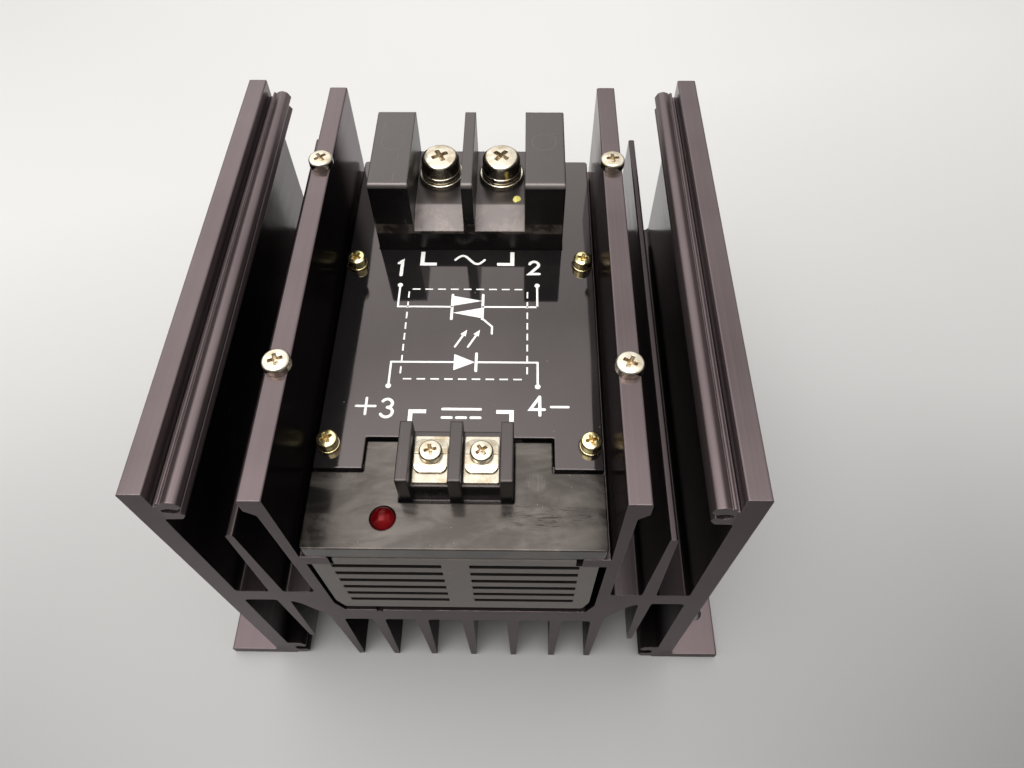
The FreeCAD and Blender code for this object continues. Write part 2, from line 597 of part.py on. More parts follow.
def input_washer(x):
    """Square clamp washer, slightly arched about a bend line along X."""
    z, top = IN_PLATE_TOP, IN_HEAD_Z
    y0, y1, bend = IN_SCREW_Y - 5.2, IN_SCREW_Y + 4.4, IN_SCREW_Y
    arch = along_x([
        (y0, z + 0.02, 0.1), (y0, top - 0.40, 0.3), (y0 + 2.1, top - 0.08, 3.0),
        (bend - 0.16, top, 0.05), (bend, top - 0.14, 0.0), (bend + 0.16, top, 0.05),
        (y1 - 2.1, top - 0.08, 3.0), (y1, top - 0.40, 0.3), (y1, z + 0.02, 0.1),
        (y1 - 1.2, z + 0.35, 0.5), (y0 + 1.2, z + 0.35, 0.5)], x - 4.25, x + 4.25)
    square = arch.common(along_z(rounded_rect(x - 4.25, x + 4.25, y0, y1, 2.2), z - 1, z + 3))
    return square.cut(cylinder(x, IN_SCREW_Y, z - 2, z + 4, 1.85))


input_screw = pan_screw(head=(3.0, 2.3, 0.6), thread=(1.75, 0.6, 8.6),
                        recess=(1.95, 1.45, 0.9), z=IN_HEAD_Z, plain=1.1)
for name, side, turn in (("3", -1, 12), ("4", 1, 35)):
    x = side * IN_SCREW_X
    save("input_terminal_plate_" + name, input_plate(x))
    save("input_washer_" + name, input_washer(x))
    save("input_screw_" + name, placed(input_screw, x, IN_SCREW_Y, turn=turn))

# ---------------------------------------------------------------- indicator
LED_Z0 = 95.4


def indicator_led():
    """Domed lens on a collared cylinder."""
    dome_z = LED_TOP - LED_R
    diagonal = LED_R * math.sqrt(0.5)
    collar_r = LED_R + 0.4
    corners = [Vector(x, 0, z) for x, z in (
        (0, LED_Z0), (collar_r, LED_Z0), (collar_r, 97.0), (LED_R, 97.0), (LED_R, dome_z))]
    top = Vector(0, 0, LED_TOP)
    profile = [Part.makeLine(start, end) for start, end in zip(corners, corners[1:])]
    profile.append(Part.Arc(corners[-1], Vector(diagonal, 0, dome_z + diagonal),
                            top).toShape())
    profile.append(Part.makeLine(top, corners[0]))
    led = Part.Face(Part.Wire(profile)).revolve(Vector(0, 0, 0), Vector(0, 0, 1), 360)
    return placed(led, LED_X, LED_Y)


save("indicator_led", indicator_led())
save_group("led_leads", [
    box(x - 0.25, x + 0.25, LED_Y - 0.25, LED_Y + 0.25, BOARD_Z - 1.2, LED_Z0)
    for x in LED_LEADS_X])

# ---------------------------------------------------------------- power module
MODULE_TERMINAL_X, MODULE_TERMINAL_Y = 12.0, 34.0
MODULE_TERMINALS = [(side * MODULE_TERMINAL_X, MODULE_TERMINAL_Y) for side in SIDES]
BAR_T = 1.5                   # thickness of the load busbars


def module_layer(corner, z0, z1, hole_r):
    """Plate over the module's footprint with its four mounting holes."""
    outline = rounded_rect(-MODULE_HALF_X, MODULE_HALF_X, MODULE_Y0, MODULE_Y1, corner)
    return cut_all(along_z(outline, z0, z1),
                   [cylinder(x, y, z0 - 1, z1 + 1, hole_r) for x, y in MODULE_SCREWS])


def power_module_case():
    case = along_z(rounded_rect(-21.0, 21.0, -6.0, 51.0, 3.0), PLATE_TOP, CASE_TOP)
    case = soften(case, 1.0, lambda edge: edge_level(edge, CASE_TOP))
    case = fuse([case, box(-30.0, 30.0, -0.5, 45.5, PLATE_TOP, PLATE_TOP + 9.0)])
    bores = [cylinder(x, y, CASE_TOP - 9.5, CASE_TOP + 1, 2.55) for x, y in MODULE_TERMINALS]
    groove = box(-1.0, 1.0, 20.0, 51.5, CASE_TOP - 3.0, CASE_TOP + 1)
    return cut_all(case, bores + [groove])


def load_busbar(side):
    """Z-shaped bar from a module terminal up to the underside of the load block."""
    y_riser, z_top = 42.2, 98.8
    bar = along_x([
        (27.5, CASE_TOP, 0), (27.5, CASE_TOP + BAR_T, 0), (y_riser, CASE_TOP + BAR_T, 1.0),
        (y_riser, z_top, 2.0), (58.0, z_top, 0), (58.0, z_top - BAR_T, 0),
        (y_riser + BAR_T, z_top - BAR_T, 1.0), (y_riser + BAR_T, CASE_TOP, 2.0)],
        side * 5.0, side * 17.5)
    return bar.cut(cylinder(side * MODULE_TERMINAL_X, MODULE_TERMINAL_Y,
                            CASE_TOP - 2, CASE_TOP + 4, 2.6))


save("thermal_sheet", module_layer(2.0, BASE_Z1, SHEET_TOP, 2.4))
save("power_module_base", module_layer(3.0, SHEET_TOP, PLATE_TOP, 2.3))
save("power_module_case", power_module_case())
mounting_screw = pan_screw(head=(3.5, 2.6, 0.8), thread=(2.0, 0.7, 10.0),
                           recess=(1.9, 1.6, 0.9))
save_group("module_mounting_screws",
           [placed(mounting_screw, x, y, PLATE_TOP) for x, y in MODULE_SCREWS])
terminal_screw = pan_screw(head=(4.5, 3.3, 1.0), thread=(2.5, 0.8, 10.0),
                           recess=(2.4, 2.0, 1.1))
save_group("module_terminal_screws",
           [placed(terminal_screw, x, y, CASE_TOP + BAR_T) for x, y in MODULE_TERMINALS])
save("load_busbar_1", load_busbar(-1))
save("load_busbar_2", load_busbar(1))


# ---------------------------------------------------------------- input circuit board
def circuit_board():
    board = along_z(rounded_rect(-BOARD_HALF_X, BOARD_HALF_X, BOARD_Y0, BOARD_Y1, 1.5),
                    BOARD_Z, BOARD_TOP)
    z0, z1 = BOARD_Z - 1, BOARD_Z + 3
    holes = [cylinder(x, y, z0, z1, 1.65) for x, y in SPACERS]
    holes += [tail_box(side * IN_SCREW_X, 0.1, 0.1, z0, z1) for side in SIDES]
    holes += [cylinder(x, LED_Y, z0, z1, 0.5) for x in LED_LEADS_X]
    return cut_all(board, holes)


def board_spacer(x, y):
    """Hexagonal pillar with a stud into the trough floor and a bore in its top."""
    angles = [math.radians(60 * k) for k in range(6)]
    hexagon = [(3.2 * math.cos(angle), 3.2 * math.sin(angle), 0.0) for angle in angles]
    pillar = placed(along_z(hexagon, BASE_Z1, BOARD_Z), x, y).fuse(
        cylinder(x, y, BASE_Z1 - 5.0, BASE_Z1 + 1, 1.5))
    return pillar.cut(cylinder(x, y, BOARD_Z - 7.0, BOARD_Z + 1, 1.55))


save("circuit_board", circuit_board())
save_group("board_spacers", [board_spacer(x, y) for x, y in SPACERS])
board_screw = pan_screw(head=(2.75, 2.0, 0.6), thread=(1.5, 0.5, 6.0), recess=(1.5, 1.2, 0.7))
save_group("board_screws", [placed(board_screw, x, y, BOARD_TOP) for x, y in SPACERS])


# Components are built standing on Z = 0, then placed on the board.
def photocoupler():
    """Six-pin body with bent pins and a round dimple on top."""
    body = along_z(rounded_rect(-4.4, 4.4, -3.2, 3.2, 0.2), 0.5, 4.0)
    pins = []
    for i in (-1, 0, 1):
        x = i * 2.54
        for side in SIDES:
            pins.append(box(x - 0.5, x + 0.5, side * 3.0, side * 3.9, 2.0, 2.3))
            pins.append(box(x - 0.3, x + 0.3, side * 3.65, side * 3.9, 0.0, 2.2))
    return fuse([body] + pins).cut(Part.makeSphere(0.6, Vector(-3.5, 2.2, 4.2)))


def film_capacitor():
    body = along_z(rounded_rect(-13.0, 13.0, -4.5, 4.5, 0.8), 0.6, 16.5)
    feet = [box(x0, x0 + 2.0, -4.0, 4.0, 0.0, 0.8) for x0 in (-12.5, 10.5)]
    return fuse([body] + feet)


def axial_resistor(length, radius, span, lift):
    """Resistor along X with its axis at height lift; span is the length of its wire."""
    end, waist = length / 2, length / 5
    body = revolved([
        (0, -end, 0), (radius * 0.85, -end, 0.3), (radius, -end + 1.4, 0.5),
        (radius * 0.86, -waist, 0.5), (radius * 0.86, waist, 0.5), (radius, end - 1.4, 0.5),
        (radius * 0.85, end, 0.3), (0, end, 0)])
    body.rotate(Vector(0, 0, 0), Vector(0, 1, 0), 90)
    body.translate(Vector(0, 0, lift))
    wire_r = 0.3
    wire = Part.makeCylinder(wire_r, span, Vector(-span / 2, 0, lift), Vector(1, 0, 0))
    legs = [cylinder(side * (span / 2 - wire_r), 0, 0, lift + wire_r, wire_r)
            for side in SIDES]
    return fuse([body, wire] + legs)


def varistor():
    disc = Part.makeCylinder(6.0, 4.2, Vector(0, -2.1, 8.0), Vector(0, 1, 0))
    disc = soften(disc, 1.2, lambda edge: edge.Closed and edge.BoundBox.YLength < 0.01)
    return fuse([disc, cylinder(-2.5, 0.6, 0.0, 6.0, 0.4), cylinder(2.5, -0.6, 0.0, 6.0, 0.4)])


def transistor():
    """Round body with a flat on its +Y side and three legs."""
    body = cylinder(0, 0, 2.5, 7.2, 2.3).cut(box(-3, 3, 1.3, 4, 2, 8))
    legs = [box(i * 1.27 - 0.22, i * 1.27 + 0.22, -0.22, 0.22, 0.0, 3.0) for i in (-1, 0, 1)]
    return fuse([body] + legs)


save("photocoupler", placed(photocoupler(), 18.0, -34.0, BOARD_TOP))
save("snubber_capacitor", placed(film_capacitor(), -12.0, -32.6, BOARD_TOP))
save("snubber_resistor", placed(axial_resistor(11.0, 2.2, 15.0, 3.0), 17.5, -44.0, BOARD_TOP))
save("varistor", placed(varistor(), 23.0, -52.5, BOARD_TOP))
save_group("input_resistors", [
    placed(axial_resistor(6.5, 1.2, 10.0, 1.6), x, y, BOARD_TOP)
    for x, y in ((-6.0, -59.5), (-6.0, -55.0), (6.5, -59.5))])
save("input_transistor", placed(transistor(), 6.5, -53.5, BOARD_TOP))


# ---------------------------------------------------------------- wires, board to module
def wire_run(points, radius):
    """Round wire through the points, with a ball at each bend."""
    pieces = []
    for start, end in zip(points[:-1], points[1:]):
        run = Vector(*end) - Vector(*start)
        pieces.append(Part.makeCylinder(radius, run.Length, Vector(*start), run))
    pieces += [Part.makeSphere(radius, Vector(*point)) for point in points[1:-1]]
    return fuse(pieces)


save_group("gate_wires", [
    wire_run([(x, -28.0, BOARD_TOP), (x, -28.0, BOARD_TOP + 4.5), (x * 0.9, -18.0, 88.0),
              (x * 0.8, -2.0, 86.0), (x * 0.8, 2.0, 84.0), (x * 0.8, 2.0, CASE_TOP)], 0.7)
    for x in (4.0, 8.0)])
save_group("snubber_wires", [
    wire_run([(side * 24.5, -26.0, BOARD_TOP), (side * 24.5, -26.0, BOARD_TOP + 5.0),
              (side * 24.5, -16.0, 88.0), (side * 19.5, 22.0, 86.5),
              (side * 15.5, 29.3, 83.5), (side * 15.5, 29.3, CASE_TOP + BAR_T)], 0.8)
    for side in SIDES])
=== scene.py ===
"""Looks and stage for a two-terminal-pair power module on a finned heat sink.

The module stands on the floor with +Z up. The camera looks down from the front (-Y). The input
terminals are at the front, the load terminals at the back (+Y), and the extrusion of the heat
sink runs along Y. Materials work in metres, the printed marks in millimetres.
"""
from functools import cached_property
from math import atan2, cos, pi, radians, sin

import bmesh
import bpy
from mathutils import Matrix, Vector

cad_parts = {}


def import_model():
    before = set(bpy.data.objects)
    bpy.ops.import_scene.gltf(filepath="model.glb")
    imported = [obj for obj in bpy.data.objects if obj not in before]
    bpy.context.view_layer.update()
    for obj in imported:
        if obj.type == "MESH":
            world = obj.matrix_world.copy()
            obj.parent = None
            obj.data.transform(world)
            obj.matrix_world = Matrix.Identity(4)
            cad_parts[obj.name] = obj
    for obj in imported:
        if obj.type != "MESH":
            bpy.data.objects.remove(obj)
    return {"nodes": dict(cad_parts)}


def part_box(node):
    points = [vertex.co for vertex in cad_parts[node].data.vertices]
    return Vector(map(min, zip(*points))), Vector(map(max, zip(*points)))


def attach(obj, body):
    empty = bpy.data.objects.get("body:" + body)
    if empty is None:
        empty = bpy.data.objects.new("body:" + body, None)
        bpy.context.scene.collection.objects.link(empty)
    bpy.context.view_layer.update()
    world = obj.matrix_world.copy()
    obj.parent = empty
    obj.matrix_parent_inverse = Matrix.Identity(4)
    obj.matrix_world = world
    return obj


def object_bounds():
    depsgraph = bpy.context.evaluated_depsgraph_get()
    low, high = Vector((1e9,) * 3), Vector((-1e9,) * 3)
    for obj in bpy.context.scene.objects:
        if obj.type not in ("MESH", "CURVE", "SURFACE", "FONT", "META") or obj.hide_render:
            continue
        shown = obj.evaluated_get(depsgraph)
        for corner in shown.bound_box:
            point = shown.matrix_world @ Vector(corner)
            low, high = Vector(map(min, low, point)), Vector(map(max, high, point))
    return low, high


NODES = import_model()["nodes"]
bpy.context.view_layer.update()
CAD_LO, CAD_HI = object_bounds()
MM = 0.001


# ---------------------------------------------------------------------------
# shader graph helpers
# ---------------------------------------------------------------------------
class Field:
    """One shader output. Arithmetic on it adds Math nodes."""

    def __init__(self, graph, socket):
        self.graph = graph
        self.socket = socket

    def math(self, operation, other=0.0, clamp=False):
        return self.graph.math(operation, self, other, clamp)

    def __add__(self, other):
        return self.math("ADD", other)

    def __sub__(self, other):
        return self.math("SUBTRACT", other)

    def __rsub__(self, other):
        return self.graph.math("SUBTRACT", other, self)

    def __mul__(self, other):
        return self.math("MULTIPLY", other)

    def __truediv__(self, other):
        return self.math("DIVIDE", other)

    def __abs__(self):
        return self.math("ABSOLUTE")

    def between(self, start, end, to=(0.0, 1.0), smooth=False):
        """Maps start..end onto the range `to`, held constant outside it."""
        inputs = dict(enumerate((self, start, end, *to)))
        kind = "SMOOTHSTEP" if smooth else "LINEAR"
        return self.graph.field("MapRange", 0, inputs, interpolation_type=kind)

    def tint(self, colour, amount):
        return self.graph.mix(base=self, tint=colour, amount=amount)

    def toward(self, value, share):
        return self.graph.mix_values(self, value, share)


class Graph:
    """Builds the nodes of one shader tree."""

    def __init__(self, tree, coordinates):
        self.tree = tree
        tree.nodes.clear()
        self.coordinates = self.field("TexCoord", coordinates)

    def fill(self, node, inputs):
        """Links fields and sets plain values; a colour is given as three numbers."""
        for key, value in inputs.items():
            socket = node.inputs[key]
            if isinstance(value, Field):
                self.tree.links.new(value.socket, socket)
            elif socket.type == "RGBA":
                socket.default_value = (*value, 1.0)
            else:
                socket.default_value = value

    def node(self, kind, inputs=None, **settings):
        node = self.tree.nodes.new("ShaderNode" + kind)
        for name, value in settings.items():
            setattr(node, name, value)
        self.fill(node, inputs or {})
        return node

    def field(self, kind, output, inputs=None, **settings):
        """A new node's named or numbered output."""
        return Field(self, self.node(kind, inputs, **settings).outputs[output])

    def math(self, operation, first, second, clamp=False):
        return self.field("Math", 0, {0: first, 1: second}, operation=operation, use_clamp=clamp)

    def vector_math(self, operation, output, first, second):
        return self.field("VectorMath", output, {0: first, 1: second}, operation=operation)

    def mix(self, base, tint, amount):
        return self.field("Mix", 2, {0: amount, 6: base, 7: tint}, data_type="RGBA")

    def mix_values(self, first, second, share):
        return self.field("Mix", 0, {0: share, 2: first, 3: second}, data_type="FLOAT")

    def colour_ramp(self, value, stops):
        """Stops are (position, colour)."""
        node = self.node("ValToRGB", {0: value})
        elements = node.color_ramp.elements
        while len(elements) < len(stops):
            elements.new(0.5)
        for element, (position, colour) in zip(elements, stops):
            element.position = position
            element.color = (*colour, 1.0)
        return Field(self, node.outputs[0])

    def axis(self, letter, source=None):
        return self.field("SeparateXYZ", letter, {0: source or self.coordinates})


class Material(Graph):
    """A procedural material with one Principled surface in object coordinates."""

    def __init__(self, name, colour, rough, metal=0.0):
        """The plain values also stand behind linked sockets and in the viewport."""
        self.material = bpy.data.materials.new(name)
        self.material.use_nodes = True
        super().__init__(self.material.node_tree, "Object")
        self.material.diffuse_color = (*colour, 1.0)
        self.material.roughness = rough
        self.material.metallic = metal
        plain = {"Base Color": colour, "Roughness": rough, "Metallic": metal}
        self.surface = self.node("BsdfPrincipled", plain)
        self.node("OutputMaterial", {"Surface": Field(self, self.surface.outputs[0])})

    def finish(self, **inputs):
        """Fills the Principled inputs; underscores stand for spaces."""
        self.fill(self.surface, {key.replace("_", " "): inputs[key] for key in inputs})
        return self.material

    @cached_property
    def normal(self):
        return self.field("NewGeometry", "Normal")

    def texture(self, kind, output, inputs, stretch=(1, 1, 1), turn=(0, 0, 0), shift=(0, 0, 0),
                **settings):
        mapping = {"Vector": self.coordinates, "Scale": stretch, "Rotation": turn,
                   "Location": shift}
        place = self.field("Mapping", 0, mapping)
        return self.field(kind, output, {"Vector": place, **inputs}, **settings)

    def noise(self, scale=1.0, detail=3.0, rough=0.6, distort=0.0, **placing):
        inputs = {"Scale": scale, "Detail": detail, "Roughness": rough, "Distortion": distort}
        return self.texture("TexNoise", 0, inputs, **placing)

    def specks(self, scale, rim, patches):
        """Small round spots, kept only where patches is above 0; rim is where they fade."""
        cells = self.texture("TexVoronoi", "Distance", {"Scale": scale})
        return cells.between(*rim, to=(1, 0), smooth=True) * patches

    def bevel(self, radius, samples=4):
        return self.field("Bevel", 0, {"Radius": radius}, samples=samples)

    def edge(self, radius, sharpness=(0.02, 0.30)):
        """About 1 on sharp outer and inner edges, 0 on flats."""
        same = self.vector_math("DOT_PRODUCT", "Value", self.bevel(radius), self.normal)
        return (1.0 - same).between(*sharpness, smooth=True)

    def bump(self, height, depth, strength, base=None):
        inputs = {"Strength": strength, "Distance": depth, "Height": height}
        if base is not None:
            inputs["Normal"] = base
        return self.field("Bump", 0, inputs)

    def openness(self, reach, samples=4, own_only=True):
        """1 in the open, falling in recesses."""
        return self.field("AmbientOcclusion", "AO", {"Distance": reach},
                          samples=samples, only_local=own_only)

    def facing(self, blend):
        return self.field("LayerWeight", "Facing", {"Blend": blend})


def length(across, along):
    return (across * across + along * along).math("SQRT")


def ring_mark(across, along, radius, line):
    """A circle round the zero of both offsets; line is where its half width fades out."""
    offset = abs(length(across, along) - radius)
    return offset.between(*line, to=(1, 0), smooth=True)


# ---------------------------------------------------------------------------
# materials
# ---------------------------------------------------------------------------
def anodised():
    """Brown-black anodised aluminium: extrusion lines along Y, sawn ends, rubbed edges, and painted
    shade on the walls facing the middle, the channels, the sawn ends and the feet.
    """
    mat = Material("heat_sink_anodised", colour=(0.105, 0.082, 0.084), rough=0.32, metal=0.9)
    end = abs(mat.axis("Y", mat.normal)).between(0.7, 0.95)
    lines = mat.noise(detail=4.0, stretch=(1500, 6, 1500))
    coarse = mat.noise(detail=2.0, rough=0.5, stretch=(260, 1.5, 260))
    saw = mat.noise(stretch=(260, 1, 2600), turn=(0, radians(17), 0))
    cloud = mat.noise(scale=22.0)
    spots = mat.noise(scale=260.0, detail=2.0, rough=0.5)
    pit_patches = mat.noise(scale=150.0, detail=2.0, rough=0.55).between(0.55, 0.66)
    pits = mat.specks(scale=700.0, rim=(0.05, 0.10), patches=pit_patches)
    rub = mat.edge(radius=0.0007, sharpness=(0.03, 0.35)) * spots.between(0.35, 0.7, to=(0.05, 0.5))

    # places, in metres: walls facing the middle, raised band, feet, channels beside the middle
    x = mat.axis("X")
    side = abs(x)
    z = mat.axis("Z")
    outward = mat.axis("X", mat.normal) * x.math("SIGN")
    inner = outward.between(-0.8, -0.95) * side.between(0.046, 0.050, to=(1, 0))
    inner = inner * z.between(0.1325, 0.1345, to=(1, 0), smooth=True)
    inner = inner * mat.axis("Y").between(0.034, 0.060, to=(1.0, 0.25), smooth=True)
    band = side.between(0.0636, 0.0640, to=(1, 0)) * side.between(0.0570, 0.0573)
    band = band * z.between(0.1210, 0.1213)
    foot = z.between(0.008, 0.009, to=(1, 0)) * side.between(0.066, 0.067)
    channel = side.between(0.0412, 0.0416) * side.between(0.0660, 0.0664, to=(1, 0))
    channel = channel * z.between(0.108, 0.122, to=(1, 0), smooth=True) * (1.0 - end)

    shade = (0.010, 0.008, 0.009)
    colour = mat.mix(base=(0.104, 0.080, 0.083), tint=(0.130, 0.102, 0.104),
                     amount=cloud.between(0.35, 0.65))
    colour = colour.tint((0.090, 0.068, 0.072), amount=coarse.between(0.3, 0.7, to=(0.0, 0.35)))
    colour = colour.tint((0.15, 0.122, 0.122), amount=lines.between(0.45, 0.75, to=(0.0, 0.20)))
    colour = colour.tint((0.14, 0.115, 0.11), amount=end * saw.between(0.4, 0.8, to=(0.0, 0.35)))
    colour = colour.tint((0.34, 0.29, 0.28), amount=rub)
    colour = colour.tint((0.30, 0.27, 0.25), amount=pits * 0.45)
    # painted shade: the walls facing the middle and the channels beside them are darkened; the
    # walls' reflections are also dimmed further down
    colour = colour.tint(shade, amount=inner * 0.80)
    colour = colour.tint(shade, amount=channel * 0.72)
    # painted shade: the sawn ends and the feet are darkened
    colour = colour.tint((0.035, 0.026, 0.028), amount=end * 0.34)
    colour = colour.tint((0.040, 0.028, 0.032), amount=foot * 0.42)

    rough = lines.between(0.3, 0.7, to=(0.17, 0.25)) + cloud.between(0.3, 0.7, to=(-0.03, 0.04))
    rough = rough.toward(0.44, share=end).toward(0.36, share=band)
    height = (lines * 0.6 + coarse * 0.5).toward(saw * 1.6, share=end)
    # the highlights stretch across a tangent that lies square to the extrusion
    tangent = mat.vector_math("CROSS_PRODUCT", 0, mat.normal, (0.02, 1.0, 0.015))
    return mat.finish(
        Base_Color=colour, Roughness=rough, Tangent=tangent,
        Normal=mat.bump(height, depth=0.00003, strength=0.5, base=mat.bevel(radius=0.00025)),
        Anisotropic=mat.mix_values(first=0.6, second=0.2, share=band),
        Specular_Tint=mat.mix(base=(1.0, 1.0, 1.0), tint=(0.16, 0.13, 0.14), amount=inner),
        Specular_IOR_Level=mat.mix_values(first=0.5, second=0.15, share=inner))


def gloss_black():
    """Polished black moulding: nearly a mirror, slightly warped, with dust and hair scratches."""
    mat = Material("gloss_black", colour=(0.006, 0.0055, 0.0056), rough=0.06)
    dust_patches = mat.noise(scale=90.0, detail=2.0, rough=0.55).between(0.52, 0.66)
    dust = mat.specks(scale=420.0, rim=(0.05, 0.11), patches=dust_patches)
    haze = mat.noise(scale=34.0, detail=4.0, stretch=(1, 0.5, 1))
    scratches = mat.noise(detail=2.0, rough=0.5, stretch=(2400, 24, 10), turn=(0, 0, radians(24)))
    wipe = mat.noise(scale=24.0, detail=4.0, rough=0.62, distort=1.0, stretch=(1.0, 0.6, 1.0),
                     turn=(0, 0, radians(15)), shift=(0.2, 0.5, 0))
    colour = mat.mix(base=(0.0055, 0.005, 0.0053), tint=(0.16, 0.15, 0.135), amount=dust * 0.5)
    colour = colour.tint((0.045, 0.041, 0.038), amount=haze.between(0.45, 0.75, to=(0.0, 0.12)))
    colour = colour.tint((0.022, 0.020, 0.019), amount=wipe.between(0.50, 0.72, to=(0.0, 0.35)))
    rough = haze.between(0.35, 0.8, to=(0.035, 0.10)).toward(0.6, share=dust * 0.8)
    rough = rough + scratches.between(0.70, 0.78) * 0.05
    # the plate bows slightly: waves along Y that grow away from x = 0, and a swell across X
    x = mat.axis("X")
    y = mat.axis("Y")
    bow = (y * 52.0 + 1.1).math("SINE") * (x * 9.0)
    swell = (x * 60.0).math("COSINE")
    unevenness = mat.noise(scale=40.0, detail=1.0, rough=0.4)
    height = bow * 0.5 + swell * 0.12 + unevenness * 0.10
    return mat.finish(
        Base_Color=colour, Roughness=rough,
        Normal=mat.bump(height, depth=0.0011, strength=1.0, base=mat.bevel(radius=0.0003)),
        Specular_IOR_Level=0.9, Specular_Tint=(1.0, 0.87, 0.86))


def satin_black():
    """Satin black moulding: wipe marks, a scuff, a faint ring and a few dark scratches."""
    mat = Material("satin_black", colour=(0.013, 0.0115, 0.011), rough=0.22)
    smear = mat.noise(detail=5.0, rough=0.62, distort=1.2, stretch=(46, 150, 60),
                      turn=(0, 0, radians(-28)), shift=(0.3, 0, 0))
    swirl = mat.noise(scale=26.0, detail=4.0, rough=0.7, distort=2.4, stretch=(1.0, 1.6, 1.0),
                      turn=(0, 0, radians(20)), shift=(0.1, 0.4, 0))
    broad = mat.noise(scale=38.0)
    grain = mat.noise(scale=2600.0, detail=2.0)
    x = mat.axis("X")
    y = mat.axis("Y")

    # scratches inside an ellipse, given by its centre and half axes
    across = (x - 0.024) / 0.013
    along = (y - -0.0618) / 0.0050
    zone = (across * across + along * along).between(0.25, 1.3, to=(1, 0), smooth=True)
    streaks = mat.noise(rough=0.7, distort=0.9, stretch=(120, 1500, 60), turn=(0, 0, radians(8)))
    scratches = streaks.between(0.57, 0.61, smooth=True) * zone

    # scuff with fine cross lines
    scuff = length(abs(x - 0.0204), abs(y + 0.0524)).between(0.0018, 0.0034, to=(1, 0), smooth=True)
    hatch = mat.noise(detail=2.0, rough=0.5, stretch=(3600, 300, 60))
    scuff = scuff * hatch.between(0.35, 0.65, to=(0.35, 1.0))

    ring = ring_mark(x - -0.0205, y - -0.0517, radius=0.0031, line=(0.0001, 0.0004))
    ring = ring * broad.between(0.4, 0.6, to=(0.2, 0.8))
    dust_patches = mat.noise(scale=120.0, detail=2.0, rough=0.5, shift=(1, 2, 3))
    dust = mat.specks(scale=520.0, rim=(0.05, 0.10), patches=dust_patches.between(0.54, 0.66))
    rub = mat.noise(scale=300.0, detail=2.0, rough=0.55).between(0.4, 0.7, to=(0.05, 0.5))
    rub = mat.edge(radius=0.0006) * rub

    colour = mat.mix(base=(0.0060, 0.0054, 0.0048), tint=(0.030, 0.0275, 0.0240),
                     amount=smear.between(0.42, 0.70))
    colour = colour.tint((0.042, 0.0385, 0.0335), amount=swirl.between(0.50, 0.66, to=(0.0, 0.8)))
    colour = colour.tint((0.012, 0.0105, 0.010), amount=broad.between(0.4, 0.7, to=(0.0, 0.5)))
    colour = colour.tint((0.085, 0.080, 0.072), amount=scuff * 0.55)
    colour = colour.tint((0.004, 0.0035, 0.0035), amount=ring * 0.5)
    colour = colour.tint((0.0015, 0.0013, 0.0013), amount=scratches * 0.9)
    colour = colour.tint((0.20, 0.19, 0.17), amount=dust * 0.5)
    colour = colour.tint((0.070, 0.062, 0.057), amount=rub)

    rough = smear.between(0.35, 0.75, to=(0.13, 0.23)) + swirl.between(0.35, 0.7, to=(-0.02, 0.06))
    rough = (rough + ring * 0.10).toward(0.42, share=scuff * 0.7).toward(0.7, share=scratches)
    # the shine weakens toward both sides
    side = abs(x + 0.001).between(0.016, 0.038, to=(1.0, 0.66), smooth=True)
    shine = (smear + swirl).between(0.80, 1.25, to=(0.60, 1.0)) * side
    height = grain + broad * 6.0
    return mat.finish(
        Base_Color=colour, Roughness=rough,
        Normal=mat.bump(height, depth=0.000010, strength=0.5, base=mat.bevel(radius=0.0004)),
        Specular_IOR_Level=shine, Specular_Tint=(1.0, 0.88, 0.80))


